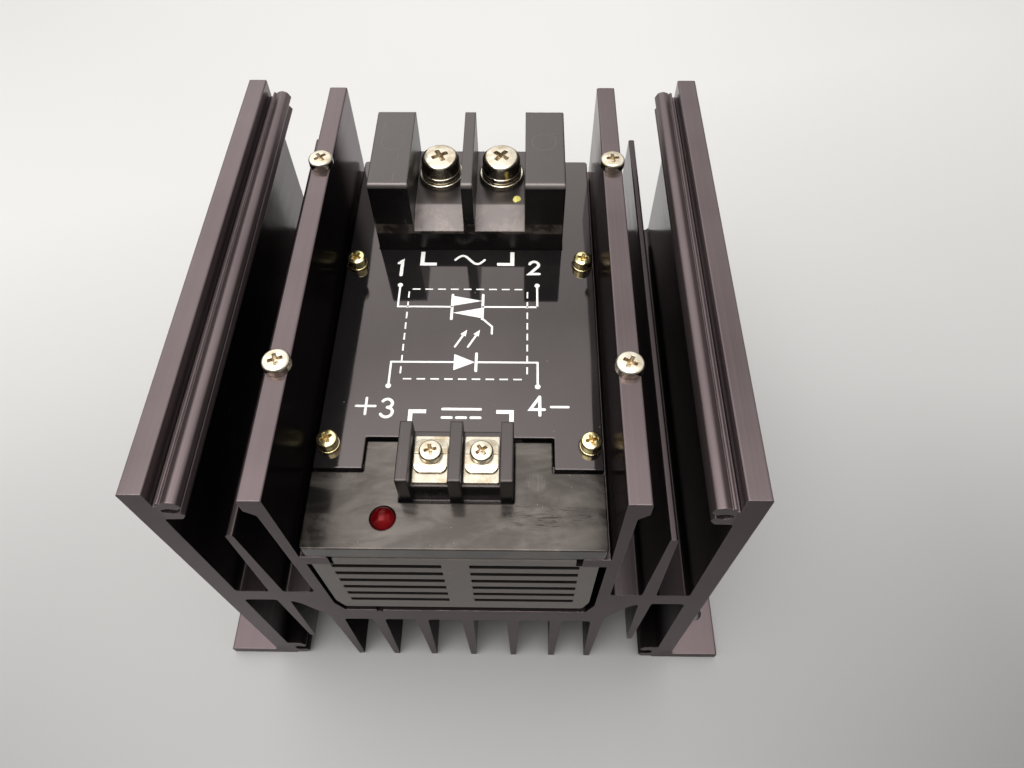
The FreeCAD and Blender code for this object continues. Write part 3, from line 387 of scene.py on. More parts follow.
def terminal_black():
    """Black moulded terminal insulation: mould marks, faint rings, lightly rubbed edges and a
    painted highlight on the load block's upper front edge.
    """
    front_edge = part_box("load_terminal_block")[0].y + 0.0025
    mat = Material("terminal_black", colour=(0.0085, 0.0078, 0.0078), rough=0.28)
    broad = mat.noise(scale=55.0)
    flow = mat.noise(detail=4.0, stretch=(60, 60, 340))
    grain = mat.noise(scale=3000.0, detail=2.0)
    x = mat.axis("X")
    y = mat.axis("Y")
    z = mat.axis("Z")

    # a ring on top of each tall side block
    ring = ring_mark(abs(x) - 0.0228, y - 0.0475, radius=0.0036, line=(0.00008, 0.00032))
    ring = ring * z.between(0.1300, 0.1306)
    scuffs = mat.noise(distort=0.8, stretch=(900, 90, 300), turn=(0, 0, radians(-32)),
                       shift=(0.2, 0, 0)).between(0.66, 0.74, smooth=True)
    # wiped ramps in front of the load screws
    ramp = z.between(0.1109, 0.1114) * z.between(0.1149, 0.1153, to=(1, 0))
    ramp = ramp * y.between(0.0385, 0.0390, to=(1, 0)) * y.between(0.0200, 0.0210)
    wipe = mat.noise(scale=130.0, detail=4.0, rough=0.65, distort=0.35, stretch=(1.0, 0.6, 1.0),
                     turn=(0, 0, 0.2), shift=(0.31, 0.12, 0))
    wiped = ramp * wipe.between(0.46, 0.58, to=(0.10, 1.0), smooth=True)
    wiped = wiped * y.between(0.0250, 0.0390, to=(1.0, 0.45))
    rub = mat.noise(scale=240.0, detail=2.0, rough=0.55).between(0.35, 0.7, to=(0.03, 0.35))
    rub = mat.edge(radius=0.0004, sharpness=(0.03, 0.3)) * rub
    dust_patches = mat.noise(scale=140.0, detail=2.0, rough=0.5, shift=(4, 1, 7))
    dust = mat.specks(scale=600.0, rim=(0.05, 0.09), patches=dust_patches.between(0.56, 0.68))
    # painted highlight along the upper front edge of the load block
    nose_highlight = y.between(front_edge + 0.0011, front_edge + 0.0004, smooth=True)
    nose_highlight = z.between(0.1292, 0.1296) * nose_highlight

    colour = mat.mix(base=(0.0040, 0.0035, 0.0037), tint=(0.0085, 0.0076, 0.0075),
                     amount=broad.between(0.35, 0.7))
    colour = colour.tint((0.016, 0.0145, 0.014), amount=flow.between(0.5, 0.8, to=(0.0, 0.3)))
    colour = colour.tint((0.050, 0.046, 0.043), amount=ring * 0.35)
    colour = colour.tint((0.070, 0.063, 0.058), amount=scuffs * 0.5)
    colour = colour.tint((0.110, 0.088, 0.074), amount=wiped * 0.75)
    colour = colour.tint((0.060, 0.054, 0.050), amount=rub)
    colour = colour.tint((0.20, 0.19, 0.17), amount=dust * 0.5)
    # painted highlight on the upper front edge
    colour = colour.tint((0.105, 0.094, 0.090),
                         amount=nose_highlight * broad.between(0.35, 0.65, to=(0.55, 0.95)))

    height = grain + flow * 2.0 + ring * 3.0
    rounded = mat.bevel(radius=0.0007, samples=6)
    normal = mat.bump(height, depth=0.000012, strength=0.55, base=rounded)
    # surfaces that face up shine most, the front terminals a little less
    shine = mat.axis("Z", normal).between(0.05, 0.55, to=(0.22, 0.90))
    shine = shine * y.between(-0.040, -0.030, to=(0.80, 1.0))
    return mat.finish(
        Base_Color=colour, Normal=normal,
        Roughness=broad.between(0.3, 0.7, to=(0.25, 0.34)) + ring * 0.12,
        Specular_IOR_Level=shine, Specular_Tint=(1.0, 0.88, 0.85))


def grille_grey():
    """Dark warm-grey moulded grille, dusty, with painted shade making it dark inside."""
    mat = Material("grille_grey", colour=(0.085, 0.076, 0.069), rough=0.42)
    broad = mat.noise(scale=60.0)
    grain = mat.noise(scale=2400.0, detail=2.0)
    dust = mat.noise(scale=500.0, rough=0.7)
    level_face = abs(mat.axis("Z", mat.normal)).between(0.55, 0.9)
    inside = level_face * mat.axis("Z").between(0.0950, 0.0955, to=(1, 0))
    recess = mat.openness(reach=0.003, samples=6).between(0.45, 0.90, to=(1, 0), smooth=True)
    slot_shade = recess.math("MAXIMUM", inside)
    rub = mat.noise(scale=260.0, detail=2.0, rough=0.55).between(0.35, 0.7, to=(0.05, 0.45))
    rub = mat.edge(radius=0.0005, sharpness=(0.03, 0.3)) * rub
    colour = mat.mix(base=(0.084, 0.074, 0.067), tint=(0.112, 0.099, 0.089),
                     amount=broad.between(0.35, 0.7))
    colour = colour.tint((0.19, 0.178, 0.158), amount=dust.between(0.62, 0.78, to=(0.0, 0.4)))
    colour = colour.tint((0.20, 0.185, 0.165), amount=rub)
    # painted shade: recesses and the level faces inside are coloured nearly black
    colour = colour.tint((0.004, 0.0035, 0.0035), amount=slot_shade * 0.95)
    return mat.finish(
        Base_Color=colour, Roughness=broad.between(0.3, 0.7, to=(0.36, 0.48)),
        Normal=mat.bump(grain, depth=0.000014, strength=0.6, base=mat.bevel(radius=0.00035)),
        Specular_IOR_Level=slot_shade.between(0.0, 1.0, to=(0.5, 0.05)),
        Specular_Tint=(1.0, 0.90, 0.85))


def nickel(name, tarnish, level=1.0, contact=False):
    """Bright nickel plate: fine marks, brown tarnish in recesses and, if contact, painted shade near
    other parts.
    """
    plate = (0.66, 0.61, 0.51)
    mat = Material(name, colour=tuple(level * part for part in plate), rough=0.22, metal=1.0)
    in_recess = mat.openness(reach=0.0016, samples=6).between(0.35, 0.92, to=(1, 0), smooth=True)
    cloud = mat.noise(scale=420.0)
    blotch = mat.noise(scale=230.0, rough=0.65, shift=(0.7, 0.2, 0.1))
    fine = mat.noise(scale=1600.0)
    scratches = mat.noise(detail=2.0, stretch=(900, 5200, 900), turn=(0.2, 0.3, radians(37)))
    colour = mat.mix(base=plate, tint=(0.52, 0.47, 0.37), amount=cloud.between(0.35, 0.7))
    colour = colour.tint((0.38, 0.28, 0.15), amount=blotch.between(0.48, 0.66, to=(0.0, 0.65)))
    colour = colour.tint((0.46, 0.34, 0.20),
                         amount=in_recess * cloud.between(0.3, 0.65, to=(0.5 * tarnish, tarnish)))
    if contact:
        # painted shade: dark brown where other parts come close
        near = mat.openness(reach=0.0007, samples=8, own_only=False)
        colour = colour.tint((0.09, 0.06, 0.035),
                             amount=near.between(0.45, 0.80, to=(0.9, 0.0), smooth=True))
        colour = colour.tint((0.0, 0.0, 0.0), amount=1.0 - level)
    rough = cloud.between(0.3, 0.75, to=(0.16, 0.30)) + in_recess * 0.16
    rough = rough + scratches.between(0.55, 0.75, to=(0.0, 0.08))
    height = fine + scratches * 0.6
    return mat.finish(
        Base_Color=colour, Roughness=rough,
        Normal=mat.bump(height, depth=0.000012, strength=0.5, base=mat.bevel(radius=0.00015)))


def yellow_zinc():
    """Yellow-passivated zinc: gold with green and pink bloom."""
    mat = Material("yellow_zinc", colour=(0.76, 0.60, 0.28), rough=0.2, metal=1.0)
    in_recess = mat.openness(reach=0.0014, samples=6).between(0.35, 0.92, to=(1, 0), smooth=True)
    cloud = mat.noise(scale=520.0)
    drift = cloud.between(0.3, 0.7, to=(-0.28, 0.28))
    bloom = mat.facing(blend=0.45).math("ADD", drift, clamp=True)
    colour = mat.colour_ramp(bloom, [
        (0.0, (0.90, 0.80, 0.50)), (0.28, (0.86, 0.74, 0.36)), (0.48, (0.70, 0.72, 0.30)),
        (0.70, (0.86, 0.52, 0.42)), (1.0, (0.55, 0.40, 0.34))])
    colour = colour.tint((0.40, 0.25, 0.08), amount=in_recess * 0.7)
    grain = mat.noise(scale=1800.0)
    return mat.finish(
        Base_Color=colour,
        Roughness=cloud.between(0.3, 0.75, to=(0.14, 0.26)) + in_recess * 0.15,
        Normal=mat.bump(grain, depth=0.000010, strength=0.6, base=mat.bevel(radius=0.00015)))


def plain_metal(name, colour, cloud_colour, rough, scale=300.0, stretch=(1, 1, 1)):
    """Cloudy bare metal with dark recesses."""
    mat = Material(name, colour=colour, rough=rough, metal=1.0)
    cloud = mat.noise(scale=scale, stretch=stretch)
    in_recess = mat.openness(reach=0.002).between(0.3, 0.95, to=(0.55, 0.0), smooth=True)
    mixed = mat.mix(base=colour, tint=cloud_colour, amount=cloud.between(0.35, 0.7))
    # darker in recesses
    mixed = mixed.tint(tuple(0.3 * part for part in cloud_colour), amount=in_recess)
    return mat.finish(
        Base_Color=mixed,
        Roughness=cloud.between(0.3, 0.75, to=(rough - 0.05, rough + 0.10)),
        Normal=mat.bump(mat.noise(scale=1500.0), depth=0.000012, strength=0.5))


def plain_body(name, colour, cloud_colour, rough, scale=120.0, grain_scale=1800.0):
    """Cloudy, grainy non-metal with rubbed edges."""
    mat = Material(name, colour=colour, rough=rough)
    cloud = mat.noise(scale=scale)
    grain = mat.noise(scale=grain_scale, rough=0.65)
    rub = mat.edge(radius=0.0004, sharpness=(0.04, 0.35)) * grain.between(0.35, 0.7, to=(0.1, 0.6))
    mixed = mat.mix(base=colour, tint=cloud_colour, amount=cloud.between(0.35, 0.7))
    mixed = mixed.tint(tuple(min(1.0, 0.04 + 1.5 * part) for part in cloud_colour), amount=rub)
    return mat.finish(
        Base_Color=mixed,
        Roughness=cloud.between(0.3, 0.75, to=(rough - 0.06, rough + 0.08)),
        Normal=mat.bump(grain, depth=0.00002, strength=0.5))


def board_green():
    """Glass-epoxy board: green mask over woven glass and a brick pattern of tracks."""
    mat = Material("board_green", colour=(0.020, 0.10, 0.045), rough=0.32)
    threads = [mat.texture("TexWave", "Fac", {"Scale": 420.0}, bands_direction=direction)
               for direction in "XY"]
    weave = threads[0] * threads[1]
    tracks = mat.texture("TexBrick", "Fac", {"Scale": 110.0, "Mortar Size": 0.06})
    colour = mat.mix(base=(0.016, 0.085, 0.038), tint=(0.026, 0.12, 0.052), amount=weave)
    colour = colour.tint((0.06, 0.20, 0.075), amount=tracks * 0.7)
    return mat.finish(
        Base_Color=colour, Roughness=0.3,
        Normal=mat.bump(weave * 0.4 + tracks, depth=0.00003, strength=0.6),
        Coat_Weight=0.4, Coat_Roughness=0.12)


def led_red():
    """Deep red tinted lens: glossy, darker at the rim, and painted light makes it brighter toward
    the right front.
    """
    mat = Material("led_red", colour=(0.10, 0.002, 0.003), rough=0.06)
    ripple = mat.noise(scale=500.0, detail=2.0, rough=0.5)
    drift = ripple.between(0.3, 0.7, to=(-0.06, 0.06))
    depth = mat.facing(blend=0.35).math("ADD", drift, clamp=True)
    colour = mat.colour_ramp(depth, [
        (0.0, (0.040, 0.0006, 0.0010)), (0.45, (0.060, 0.0010, 0.0016)),
        (1.0, (0.012, 0.0003, 0.0006))])
    # painted light: the side facing the right front is coloured brighter red
    lit_side_direction = (0.62, -0.66, 0.42)
    lit_side = mat.vector_math("DOT_PRODUCT", "Value", mat.normal, lit_side_direction)
    colour = colour.tint((0.115, 0.003, 0.0045), amount=lit_side.between(0.20, 1.0, smooth=True))
    return mat.finish(
        Base_Color=colour, Roughness=ripple.between(0.3, 0.7, to=(0.05, 0.09)),
        Normal=mat.bump(ripple, depth=0.00002, strength=0.35),
        IOR=1.5, Specular_IOR_Level=0.32, Specular_Tint=(1.0, 0.25, 0.25))


def white_print():
    """Screen-printed white ink, thin in patches."""
    mat = Material("white_print", colour=(0.66, 0.65, 0.63), rough=0.42)
    patches = mat.noise(scale=900.0, rough=0.65)
    colour = mat.mix(base=(0.70, 0.69, 0.67), tint=(0.44, 0.43, 0.42),
                     amount=patches.between(0.50, 0.80, to=(0.0, 0.45)))
    grain = mat.noise(scale=2600.0, detail=2.0)
    return mat.finish(
        Base_Color=colour, Roughness=patches.between(0.3, 0.7, to=(0.36, 0.50)),
        Normal=mat.bump(grain, depth=0.00001, strength=0.5))


def yellow_paint():
    mat = Material("yellow_paint", colour=(0.66, 0.58, 0.16), rough=0.4)
    patches = mat.noise(scale=1400.0, rough=0.65)
    colour = mat.mix(base=(0.72, 0.65, 0.20), tint=(0.50, 0.41, 0.08),
                     amount=patches.between(0.35, 0.7))
    return mat.finish(
        Base_Color=colour, Roughness=patches.between(0.3, 0.7, to=(0.3, 0.48)),
        Normal=mat.bump(patches, depth=0.00005, strength=0.7))


def base_name(material):
    """The name without the number added to a repeated name."""
    return material.name.split(".")[0]


MATERIALS = {base_name(material): material for material in (
    anodised(),
    gloss_black(),
    satin_black(),
    terminal_black(),
    grille_grey(),
    nickel("bright_nickel", tarnish=0.85),
    nickel("pressed_nickel", tarnish=0.9, level=0.72, contact=True),
    yellow_zinc(),
    plain_metal("brass_insert", colour=(0.66, 0.47, 0.18), cloud_colour=(0.55, 0.37, 0.13),
                rough=0.26),
    plain_metal("copper_bar", colour=(0.72, 0.33, 0.19), cloud_colour=(0.55, 0.23, 0.13),
                rough=0.28, scale=160.0, stretch=(1, 6, 1)),
    plain_metal("module_plate", colour=(0.60, 0.59, 0.57), cloud_colour=(0.50, 0.49, 0.47),
                rough=0.32, scale=1.0, stretch=(90, 900, 90)),
    plain_body("module_case", colour=(0.020, 0.020, 0.022), cloud_colour=(0.035, 0.034, 0.036),
               rough=0.45),
    plain_body("thermal_sheet", colour=(0.42, 0.42, 0.40), cloud_colour=(0.34, 0.34, 0.33),
               rough=0.62, scale=400.0, grain_scale=2600.0),
    led_red(),
    plain_metal("tinned_wire", colour=(0.66, 0.65, 0.62), cloud_colour=(0.52, 0.51, 0.48),
                rough=0.24),
    board_green(),
    plain_body("component_body", colour=(0.022, 0.022, 0.023),
               cloud_colour=(0.040, 0.039, 0.040), rough=0.5, scale=500.0),
    plain_body("capacitor_box", colour=(0.30, 0.055, 0.022), cloud_colour=(0.22, 0.040, 0.018),
               rough=0.30, scale=160.0),
    plain_body("resistor_body", colour=(0.40, 0.30, 0.17), cloud_colour=(0.32, 0.23, 0.13),
               rough=0.42, scale=300.0),
    plain_body("varistor_body", colour=(0.035, 0.10, 0.27), cloud_colour=(0.025, 0.075, 0.20),
               rough=0.28, scale=220.0),
    plain_body("wire_insulation", colour=(0.40, 0.022, 0.016), cloud_colour=(0.30, 0.016, 0.012),
               rough=0.38, scale=200.0),
)}

# each CAD piece names its material in its first slot
for name, piece in NODES.items():
    slots = piece.data.materials
    chosen = base_name(slots[0]) if slots else "component_body"
    if name.startswith(("input_terminal_plate", "input_washer")):
        chosen = "pressed_nickel"
    slots.clear()
    slots.append(MATERIALS[chosen])


# ---------------------------------------------------------------------------
# printed marks on the main cover, in mm
# ---------------------------------------------------------------------------
INK_THICKNESS = 0.04
INK_SINK = 0.01             # how far the marks reach into the cover
INK_STEP = 0.004            # neighbouring marks differ in height, so overlaps share no plane
INK_LEVELS = 5
COVER_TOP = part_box("main_cover")[1].z / MM
CAP_STEPS = 6               # segments in the half circle at a stroke's end
SHARPEST_MITRE = 0.35       # limits how far a stroke widens at a corner


def mesh_object(name, bm, material):
    mesh = bpy.data.meshes.new(name)
    bm.to_mesh(mesh)
    bm.free()
    mesh.materials.append(material)
    made = bpy.data.objects.new(name, mesh)
    bpy.context.scene.collection.objects.link(made)
    return made


def printed(name, outlines):
    """Thin closed solids of ink from closed anticlockwise outlines."""
    bm = bmesh.new()
    for index, outline in enumerate(outlines):
        bottom = COVER_TOP - INK_SINK
        top = COVER_TOP + INK_THICKNESS + INK_STEP * (index % INK_LEVELS)
        lower = [bm.verts.new((x * MM, y * MM, bottom * MM)) for x, y in outline]
        upper = [bm.verts.new((x * MM, y * MM, top * MM)) for x, y in outline]
        bm.faces.new(list(reversed(lower)))
        bm.faces.new(upper)
        for i in range(len(outline)):
            j = (i + 1) % len(outline)
            bm.faces.new((lower[i], lower[j], upper[j], upper[i]))
    bmesh.ops.recalc_face_normals(bm, faces=bm.faces)
    bmesh.ops.triangulate(bm, faces=[face for face in bm.faces if len(face.verts) > 4])
    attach(mesh_object(name, bm, INK_MATERIAL), "root")


def cap(centre, start, radius):
    """The points of a half circle round centre, anticlockwise from start, without its ends."""
    offset = start - centre
    first = atan2(offset.y, offset.x)
    angles = [first + pi * i / CAP_STEPS for i in range(1, CAP_STEPS)]
    return [(centre.x + radius * cos(angle), centre.y + radius * sin(angle)) for angle in angles]


def stroke(path, width):
    """The outline of a round-ended pen stroke of constant width along path."""
    points = [Vector(point) for point in path]
    half = width / 2.0
    directions = [(after - before).normalized() for before, after in zip(points, points[1:])]
    left, right = [], []
    for point, arriving, leaving in zip(points, directions[:1] + directions,
                                        directions + directions[-1:]):
        tangent = arriving + leaving
        tangent = tangent.normalized() if tangent.length > 1e-6 else arriving
        normal = Vector((-tangent.y, tangent.x))
        facing = normal.dot(Vector((-arriving.y, arriving.x)))
        reach = half / max(SHARPEST_MITRE, facing)
        left.append(point + normal * reach)
        right.append(point - normal * reach)
    return ([tuple(point) for point in right] + cap(points[-1], right[-1], half)
            + [tuple(point) for point in reversed(left)] + cap(points[0], left[0], half))


def arc(centre_x, centre_y, radius_x, radius_y, start, end, steps):
    """Points along an elliptical arc, with its angles in degrees."""
    angles = [radians(start + (end - start) * i / steps) for i in range(steps + 1)]
    return [(centre_x + radius_x * cos(angle), centre_y + radius_y * sin(angle))
            for angle in angles]


def rect(x, y, width, height):
    return [(x, y), (x + width, y), (x + width, y + height), (x, y + height)]


def disc(centre_x, centre_y, radius, steps=20):
    angles = [2 * pi * i / steps for i in range(steps)]
    return [(centre_x + radius * cos(angle), centre_y + radius * sin(angle)) for angle in angles]


# pen paths of each numeral in a box 1 wide and 1.5 high, origin at the centre
NUMERAL_BOX_HEIGHT = 1.5
TWO_BOW = arc(0.0, 0.34, 0.40, 0.38, start=165, end=-35, steps=14)
THREE_UPPER = arc(-0.02, 0.37, 0.36, 0.35, start=150, end=-70, steps=12)
THREE_LOWER = arc(-0.02, -0.33, 0.42, 0.39, start=70, end=-155, steps=14)
THREE_WAIST = [(0.02, 0.045)]
NUMERAL_PATHS = {
    1: [[(-0.20, 0.52), (0.06, 0.72), (0.06, -0.72)]],
    2: [TWO_BOW + [(-0.42, -0.70), (0.44, -0.70)]],
    3: [THREE_UPPER[:-1] + THREE_WAIST, THREE_WAIST + THREE_LOWER[1:]],
    4: [[(0.18, 0.72), (-0.46, -0.28), (0.48, -0.28)], [(0.18, 0.72), (0.18, -0.72)]],
}
# numeral, centre x, centre y, height, pen width
TERMINAL_NUMBERS = [
    (1, -21.4, 20.9, 5.9, 1.05),
    (2, 20.1, 21.2, 5.3, 0.95),
    (3, -20.6, -30.1, 6.0, 0.85),
    (4, 20.8, -29.1, 6.2, 0.85),
]
SIGN_PEN = 0.75
# the two bars of the plus, then the minus
POLARITY_PATHS = [
    [(-29.2, -29.5), (-23.9, -29.5)],
    [(-26.5, -32.1), (-26.5, -26.9)],
    [(24.7, -29.4), (29.4, -29.4)],
]
# L-shaped outlines, (x, y): back left, back right, front left, front right
BRACKETS = [
    [(-15.6, 22.0), (-10.4, 22.0), (-10.4, 23.2), (-14.3, 23.2), (-14.3, 27.7), (-15.6, 27.7)],
    [(8.5, 22.0), (13.9, 22.0), (13.9, 27.7), (12.6, 27.7), (12.6, 23.2), (8.5, 23.2)],
    [(-14.6, -36.6), (-13.4, -36.6), (-13.4, -31.7), (-9.7, -31.7), (-9.7, -30.5), (-14.6, -30.5)],
    [(9.6, -31.7), (13.2, -31.7), (13.2, -36.6), (14.4, -36.6), (14.4, -30.5), (9.6, -30.5)],
]
SYMBOL_PEN = 0.8
# alternating current: one sine wave
WAVE_HALF_LENGTH, WAVE_Y, WAVE_HEIGHT, WAVE_STEPS = 4.6, 24.4, 1.7, 28
# direct current: a full bar over three dashes, as (x from, x to, y)
DIRECT_BARS = [(-5.2, 5.2, -30.3), (-5.2, -2.7, -33.0), (-1.25, 1.25, -33.0), (2.7, 5.2, -33.0)]


def numeral(digit, centre_x, centre_y, height, pen):
    scale = height / NUMERAL_BOX_HEIGHT
    return [stroke([(centre_x + x * scale, centre_y + y * scale) for x, y in path], pen)
            for path in NUMERAL_PATHS[digit]]


def wave_path():
    return [(-WAVE_HALF_LENGTH + 2 * WAVE_HALF_LENGTH * i / WAVE_STEPS,
             WAVE_Y + WAVE_HEIGHT * sin(2 * pi * i / WAVE_STEPS)) for i in range(WAVE_STEPS + 1)]


# circuit diagram
DIAGRAM_PEN = 0.6
BAR_PEN = 0.8
LEAD_X = 21.0                            # the leads stand at both sides
LOAD_RAIL_Y, INPUT_RAIL_Y = 5.6, -14.6
LOAD_LEAD_END, INPUT_LEAD_END = 13.4, -22.2
LEAD_DOT_RADIUS, LEAD_DOT_GAP = 0.8, 0.6
SWITCH_BAR_X, SWITCH_BAR_HALF = 4.6, 4.6
SWITCH_TIP_X = 4.3
DIODE_X, DIODE_HALF_HEIGHT = 3.0, 2.8
DIODE_BAR_X, DIODE_BAR_HALF = 3.4, 3.0
DASH_LENGTH, DASH_WIDTH = 2.4, 0.45
DASHES_ALONG_X, DASH_X, DASH_PITCH_X = 9, -17.1, 3.9
DASHES_ALONG_Y, DASH_Y, DASH_PITCH_Y = 8, -18.6, 3.95


def circuit_diagram():
    """Input diode, two light arrows and two-way switch in a dashed frame."""
    marks = []

    def line(*path, pen=DIAGRAM_PEN):
        marks.append(stroke(path, pen))

    for x in (-LEAD_X, LEAD_X):
        line((x, LOAD_LEAD_END), (x, LOAD_RAIL_Y))
        line((x, INPUT_RAIL_Y), (x, INPUT_LEAD_END))
        marks.append(disc(x, LOAD_LEAD_END + LEAD_DOT_GAP, LEAD_DOT_RADIUS))
        marks.append(disc(x, INPUT_LEAD_END - LEAD_DOT_GAP, LEAD_DOT_RADIUS))
    line((-LEAD_X, LOAD_RAIL_Y), (-SWITCH_BAR_X, LOAD_RAIL_Y))
    line((SWITCH_BAR_X, LOAD_RAIL_Y), (LEAD_X, LOAD_RAIL_Y))
    line((-LEAD_X, INPUT_RAIL_Y), (-DIODE_X, INPUT_RAIL_Y))
    line((DIODE_BAR_X, INPUT_RAIL_Y), (LEAD_X, INPUT_RAIL_Y))

    # diode: a triangle pointing right at a bar
    marks.append([(-DIODE_X, INPUT_RAIL_Y - DIODE_HALF_HEIGHT), (DIODE_X, INPUT_RAIL_Y),
                  (-DIODE_X, INPUT_RAIL_Y + DIODE_HALF_HEIGHT)])
    line((DIODE_BAR_X, INPUT_RAIL_Y - DIODE_BAR_HALF),
         (DIODE_BAR_X, INPUT_RAIL_Y + DIODE_BAR_HALF), pen=BAR_PEN)

    # arrows of light, each a shaft and a head
    for x in (-3.0, 0.8):
        line((x, -9.2), (x + 2.3, -4.9))
        marks.append([(x + 3.3, -3.0), (x + 1.4, -4.6), (x + 3.0, -5.45)])

    # two-way switch: two opposed triangles between two bars, and its gate lead
    for x in (-SWITCH_BAR_X, SWITCH_BAR_X):
        line((x, LOAD_RAIL_Y - SWITCH_BAR_HALF), (x, LOAD_RAIL_Y + SWITCH_BAR_HALF), pen=BAR_PEN)
    marks.append([(-SWITCH_TIP_X, 6.0), (SWITCH_TIP_X, 7.9), (-SWITCH_TIP_X, 9.8)])
    marks.append([(SWITCH_TIP_X, 1.4), (SWITCH_TIP_X, 5.2), (-SWITCH_TIP_X, 3.3)])
    line((SWITCH_BAR_X, 1.2), (7.6, -1.8), (7.6, -4.4))

    # dashed frame: back and front rows, then left and right columns
    for i in range(DASHES_ALONG_X):
        for y in (12.2, -20.65):
            marks.append(rect(DASH_X + i * DASH_PITCH_X, y, DASH_LENGTH, DASH_WIDTH))
    for i in range(DASHES_ALONG_Y):
        for x in (-18.25, 17.8):
            marks.append(rect(x, DASH_Y + i * DASH_PITCH_Y, DASH_WIDTH, DASH_LENGTH))
    return marks


INK_MATERIAL = white_print()
printed("terminal_numbers", [mark for row in TERMINAL_NUMBERS for mark in numeral(*row)])
printed("polarity_signs", [stroke(path, SIGN_PEN) for path in POLARITY_PATHS])
printed("terminal_brackets", BRACKETS)
printed("load_symbol", [stroke(wave_path(), SYMBOL_PEN)])
printed("input_symbol", [stroke([(x_from, y), (x_to, y)], SYMBOL_PEN)
                         for x_from, x_to, y in DIRECT_BARS])
printed("circuit_diagram", circuit_diagram())


# ---------------------------------------------------------------------------
# yellow dot of paint, in mm
# ---------------------------------------------------------------------------
DOT_CENTRE = (14.55, 39.75, 115.09)
DOT_RADIUS, DOT_HEIGHT = 1.3, 0.45
DOT_STRETCH = (0.98, 1.22)
DOT_RINGS, DOT_SEGMENTS = 5, 24


def inspection_dot():
    """A closed low dome with a slightly uneven rim."""
    centre_x, centre_y, base_z = DOT_CENTRE
    bm = bmesh.new()
    loops = []
    for ring in range(DOT_RINGS):
        rise = (pi / 2) * ring / DOT_RINGS
        radius, height = DOT_RADIUS * cos(rise), DOT_HEIGHT * sin(rise)
        loop = []
        for i in range(DOT_SEGMENTS):
            angle = 2 * pi * i / DOT_SEGMENTS
            uneven = 1.0 + 0.08 * sin(2 * angle + 0.6) + 0.05 * sin(3 * angle + 1.9)
            x = centre_x + DOT_STRETCH[0] * radius * uneven * cos(angle)
            y = centre_y + DOT_STRETCH[1] * radius * uneven * sin(angle)
            loop.append(bm.verts.new((x * MM, y * MM, (base_z + height) * MM)))
        loops.append(loop)
    top = bm.verts.new((centre_x * MM, centre_y * MM, (base_z + DOT_HEIGHT) * MM))
    for lower, upper in zip(loops, loops[1:]):
        for i in range(DOT_SEGMENTS):
            j = (i + 1) % DOT_SEGMENTS
            bm.faces.new((lower[i], lower[j], upper[j], upper[i]))
    for i in range(DOT_SEGMENTS):
        bm.faces.new((loops[-1][i], loops[-1][(i + 1) % DOT_SEGMENTS], top))
    bm.faces.new(list(reversed(loops[0])))
    bmesh.ops.recalc_face_normals(bm, faces=bm.faces)
    for face in bm.faces:
        face.smooth = len(face.verts) <= 4
    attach(mesh_object("inspection_dot", bm, yellow_paint()), "root")


inspection_dot()


# ---------------------------------------------------------------------------
# stage: floor, light, camera
# ---------------------------------------------------------------------------
FLOOR_HALF_SIZE = 3.0
FLOOR_GAP = 0.0002          # between the floor and the lowest CAD point


def floor_material():
    """Grey paper that darkens away from the light."""
    mat = Material("stage_floor", colour=(0.66, 0.655, 0.645), rough=0.6)
    cloud = mat.noise(scale=3.0, rough=0.5)
    colour = mat.mix(base=(0.390, 0.384, 0.380), tint=(0.402, 0.396, 0.392),
                     amount=cloud.between(0.35, 0.65))
    # painted shade toward the front right
    fall = mat.axis("X") * -0.30 + mat.axis("Y")
    colour = colour.tint((0.13, 0.128, 0.126), amount=fall.between(-0.24, 0.22, to=(0.85, 0.0)))
    # painted shade growing away from the module, in front of it
    far = mat.axis("X") * mat.axis("X") + mat.axis("Y") * mat.axis("Y")
    front = far.between(0.010, 0.075, to=(0.0, 0.45)) * mat.axis("Y").between(-0.16, 0.02, to=(1, 0))
    colour = colour.tint((0.10, 0.098, 0.096), amount=front)
    # painted shade at both sides, in front and at the back
    x = mat.axis("X")
    y = mat.axis("Y")
    front_sides = x.between(0.05, 0.19, to=(0.0, 0.45)) + x.between(-0.06, -0.16, to=(0.0, 0.17))
    back_sides = x.between(0.08, 0.34, to=(0.0, 0.14)) + x.between(-0.08, -0.33, to=(0.0, 0.12))
    sides = y.between(-0.11, 0.05, to=(1, 0)) * front_sides + y.between(0.10, 0.32) * back_sides
    colour = colour.tint((0.040, 0.039, 0.038), amount=sides)
    grain = mat.noise(scale=900.0, detail=2.0, rough=0.5)
    return mat.finish(Base_Color=colour, Roughness=0.55,
                      Normal=mat.bump(grain, depth=0.00003, strength=0.3))


def build_floor():
    bm = bmesh.new()
    bmesh.ops.create_grid(bm, x_segments=8, y_segments=8, size=FLOOR_HALF_SIZE)
    floor = mesh_object("floor", bm, floor_material())
    floor.location = (0, 0, CAD_LO.z - FLOOR_GAP)


# (height of the direction above the horizon as its z, radiance)
RADIANCE = [(0.0, 0.45), (0.30, 0.85), (0.62, 1.85), (0.79, 1.35),
            (0.86, 2.05), (0.92, 2.45), (0.965, 3.90), (1.0, 6.2)]
PEAK_RADIANCE = RADIANCE[-1][1]
PANEL_RADIANCE = 6.0
SEEN_RADIANCE = 0.72        # plain background seen directly by the camera


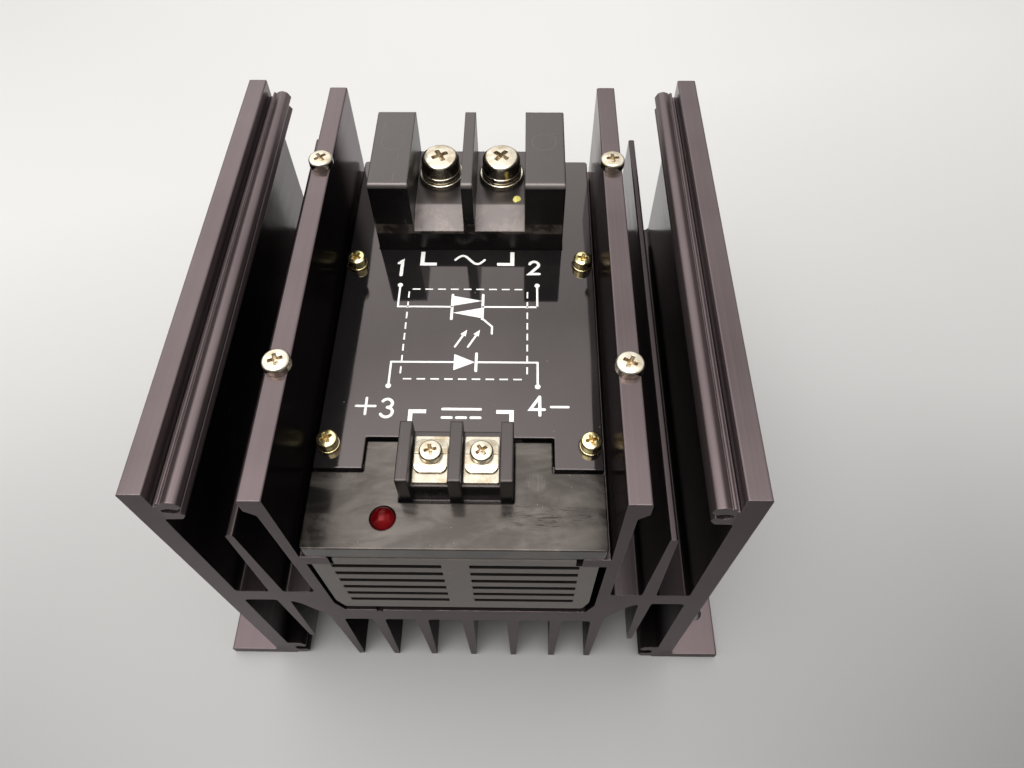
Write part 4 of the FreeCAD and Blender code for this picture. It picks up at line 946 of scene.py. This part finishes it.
def build_world():
    """Soft studio light: brightest straight above, dim at the front, stronger on the left."""
    world = bpy.data.worlds.new("studio")
    bpy.context.scene.world = world
    world.use_nodes = True
    sky = Graph(world.node_tree, "Generated")
    parts = sky.node("SeparateXYZ", {0: sky.coordinates}).outputs
    x, y, z = [Field(sky, parts[letter]) for letter in "XYZ"]
    stops = [(height, (value / PEAK_RADIANCE,) * 3) for height, value in RADIANCE]
    level = sky.colour_ramp(z, stops) * PEAK_RADIANCE
    level = level * y.between(-0.75, -0.20, to=(0.28, 1.0), smooth=True)
    # a lamp panel hangs a little to the front of straight above
    panel = y.between(-0.62, -0.40, smooth=True) * y.between(-0.10, 0.16, to=(1, 0), smooth=True)
    panel = panel * x.between(-0.62, -0.42, smooth=True)
    panel = panel * x.between(0.22, 0.45, to=(1, 0), smooth=True)
    panel = panel * z.between(0.55, 0.70, smooth=True)
    level = level.math("MAXIMUM", panel * PANEL_RADIANCE)
    level = level * x.between(-0.35, 0.35, to=(1.28, 0.80), smooth=True)
    level = level.toward(SEEN_RADIANCE, share=sky.field("LightPath", "Is Camera Ray"))
    light = sky.field("Background", 0, {"Strength": level, "Color": (1.0, 0.99, 0.975)})
    sky.node("OutputWorld", {"Surface": light})


CAMERA_PLACE = (16.63, -137.71, 283.13)     # mm
CAMERA_RIGHT = (0.99988, 0.01351, -0.00719)
CAMERA_UP = (-0.00744, 0.83973, 0.54296)
CAMERA_BACK = (0.01337, -0.54284, 0.83973)  # away from the view
SENSOR_WIDTH, FOCAL_LENGTH = 36.0, 26.680078125     # mm


def build_camera():
    scene = bpy.context.scene
    lens = bpy.data.cameras.new("camera")
    lens.sensor_width = SENSOR_WIDTH
    lens.sensor_fit = "HORIZONTAL"
    lens.lens = FOCAL_LENGTH
    lens.clip_start, lens.clip_end = 0.01, 50.0
    camera = bpy.data.objects.new("camera", lens)
    turn = Matrix((CAMERA_RIGHT, CAMERA_UP, CAMERA_BACK)).transposed().to_4x4()
    camera.matrix_world = Matrix.Translation(Vector(CAMERA_PLACE) * MM) @ turn
    scene.collection.objects.link(camera)
    scene.camera = camera
    view = scene.view_settings
    view.view_transform = "Standard"
    view.look = "None"
    view.exposure = 0.0
    view.gamma = 1.0


build_floor()
build_world()
build_camera()

bpy.context.view_layer.update()
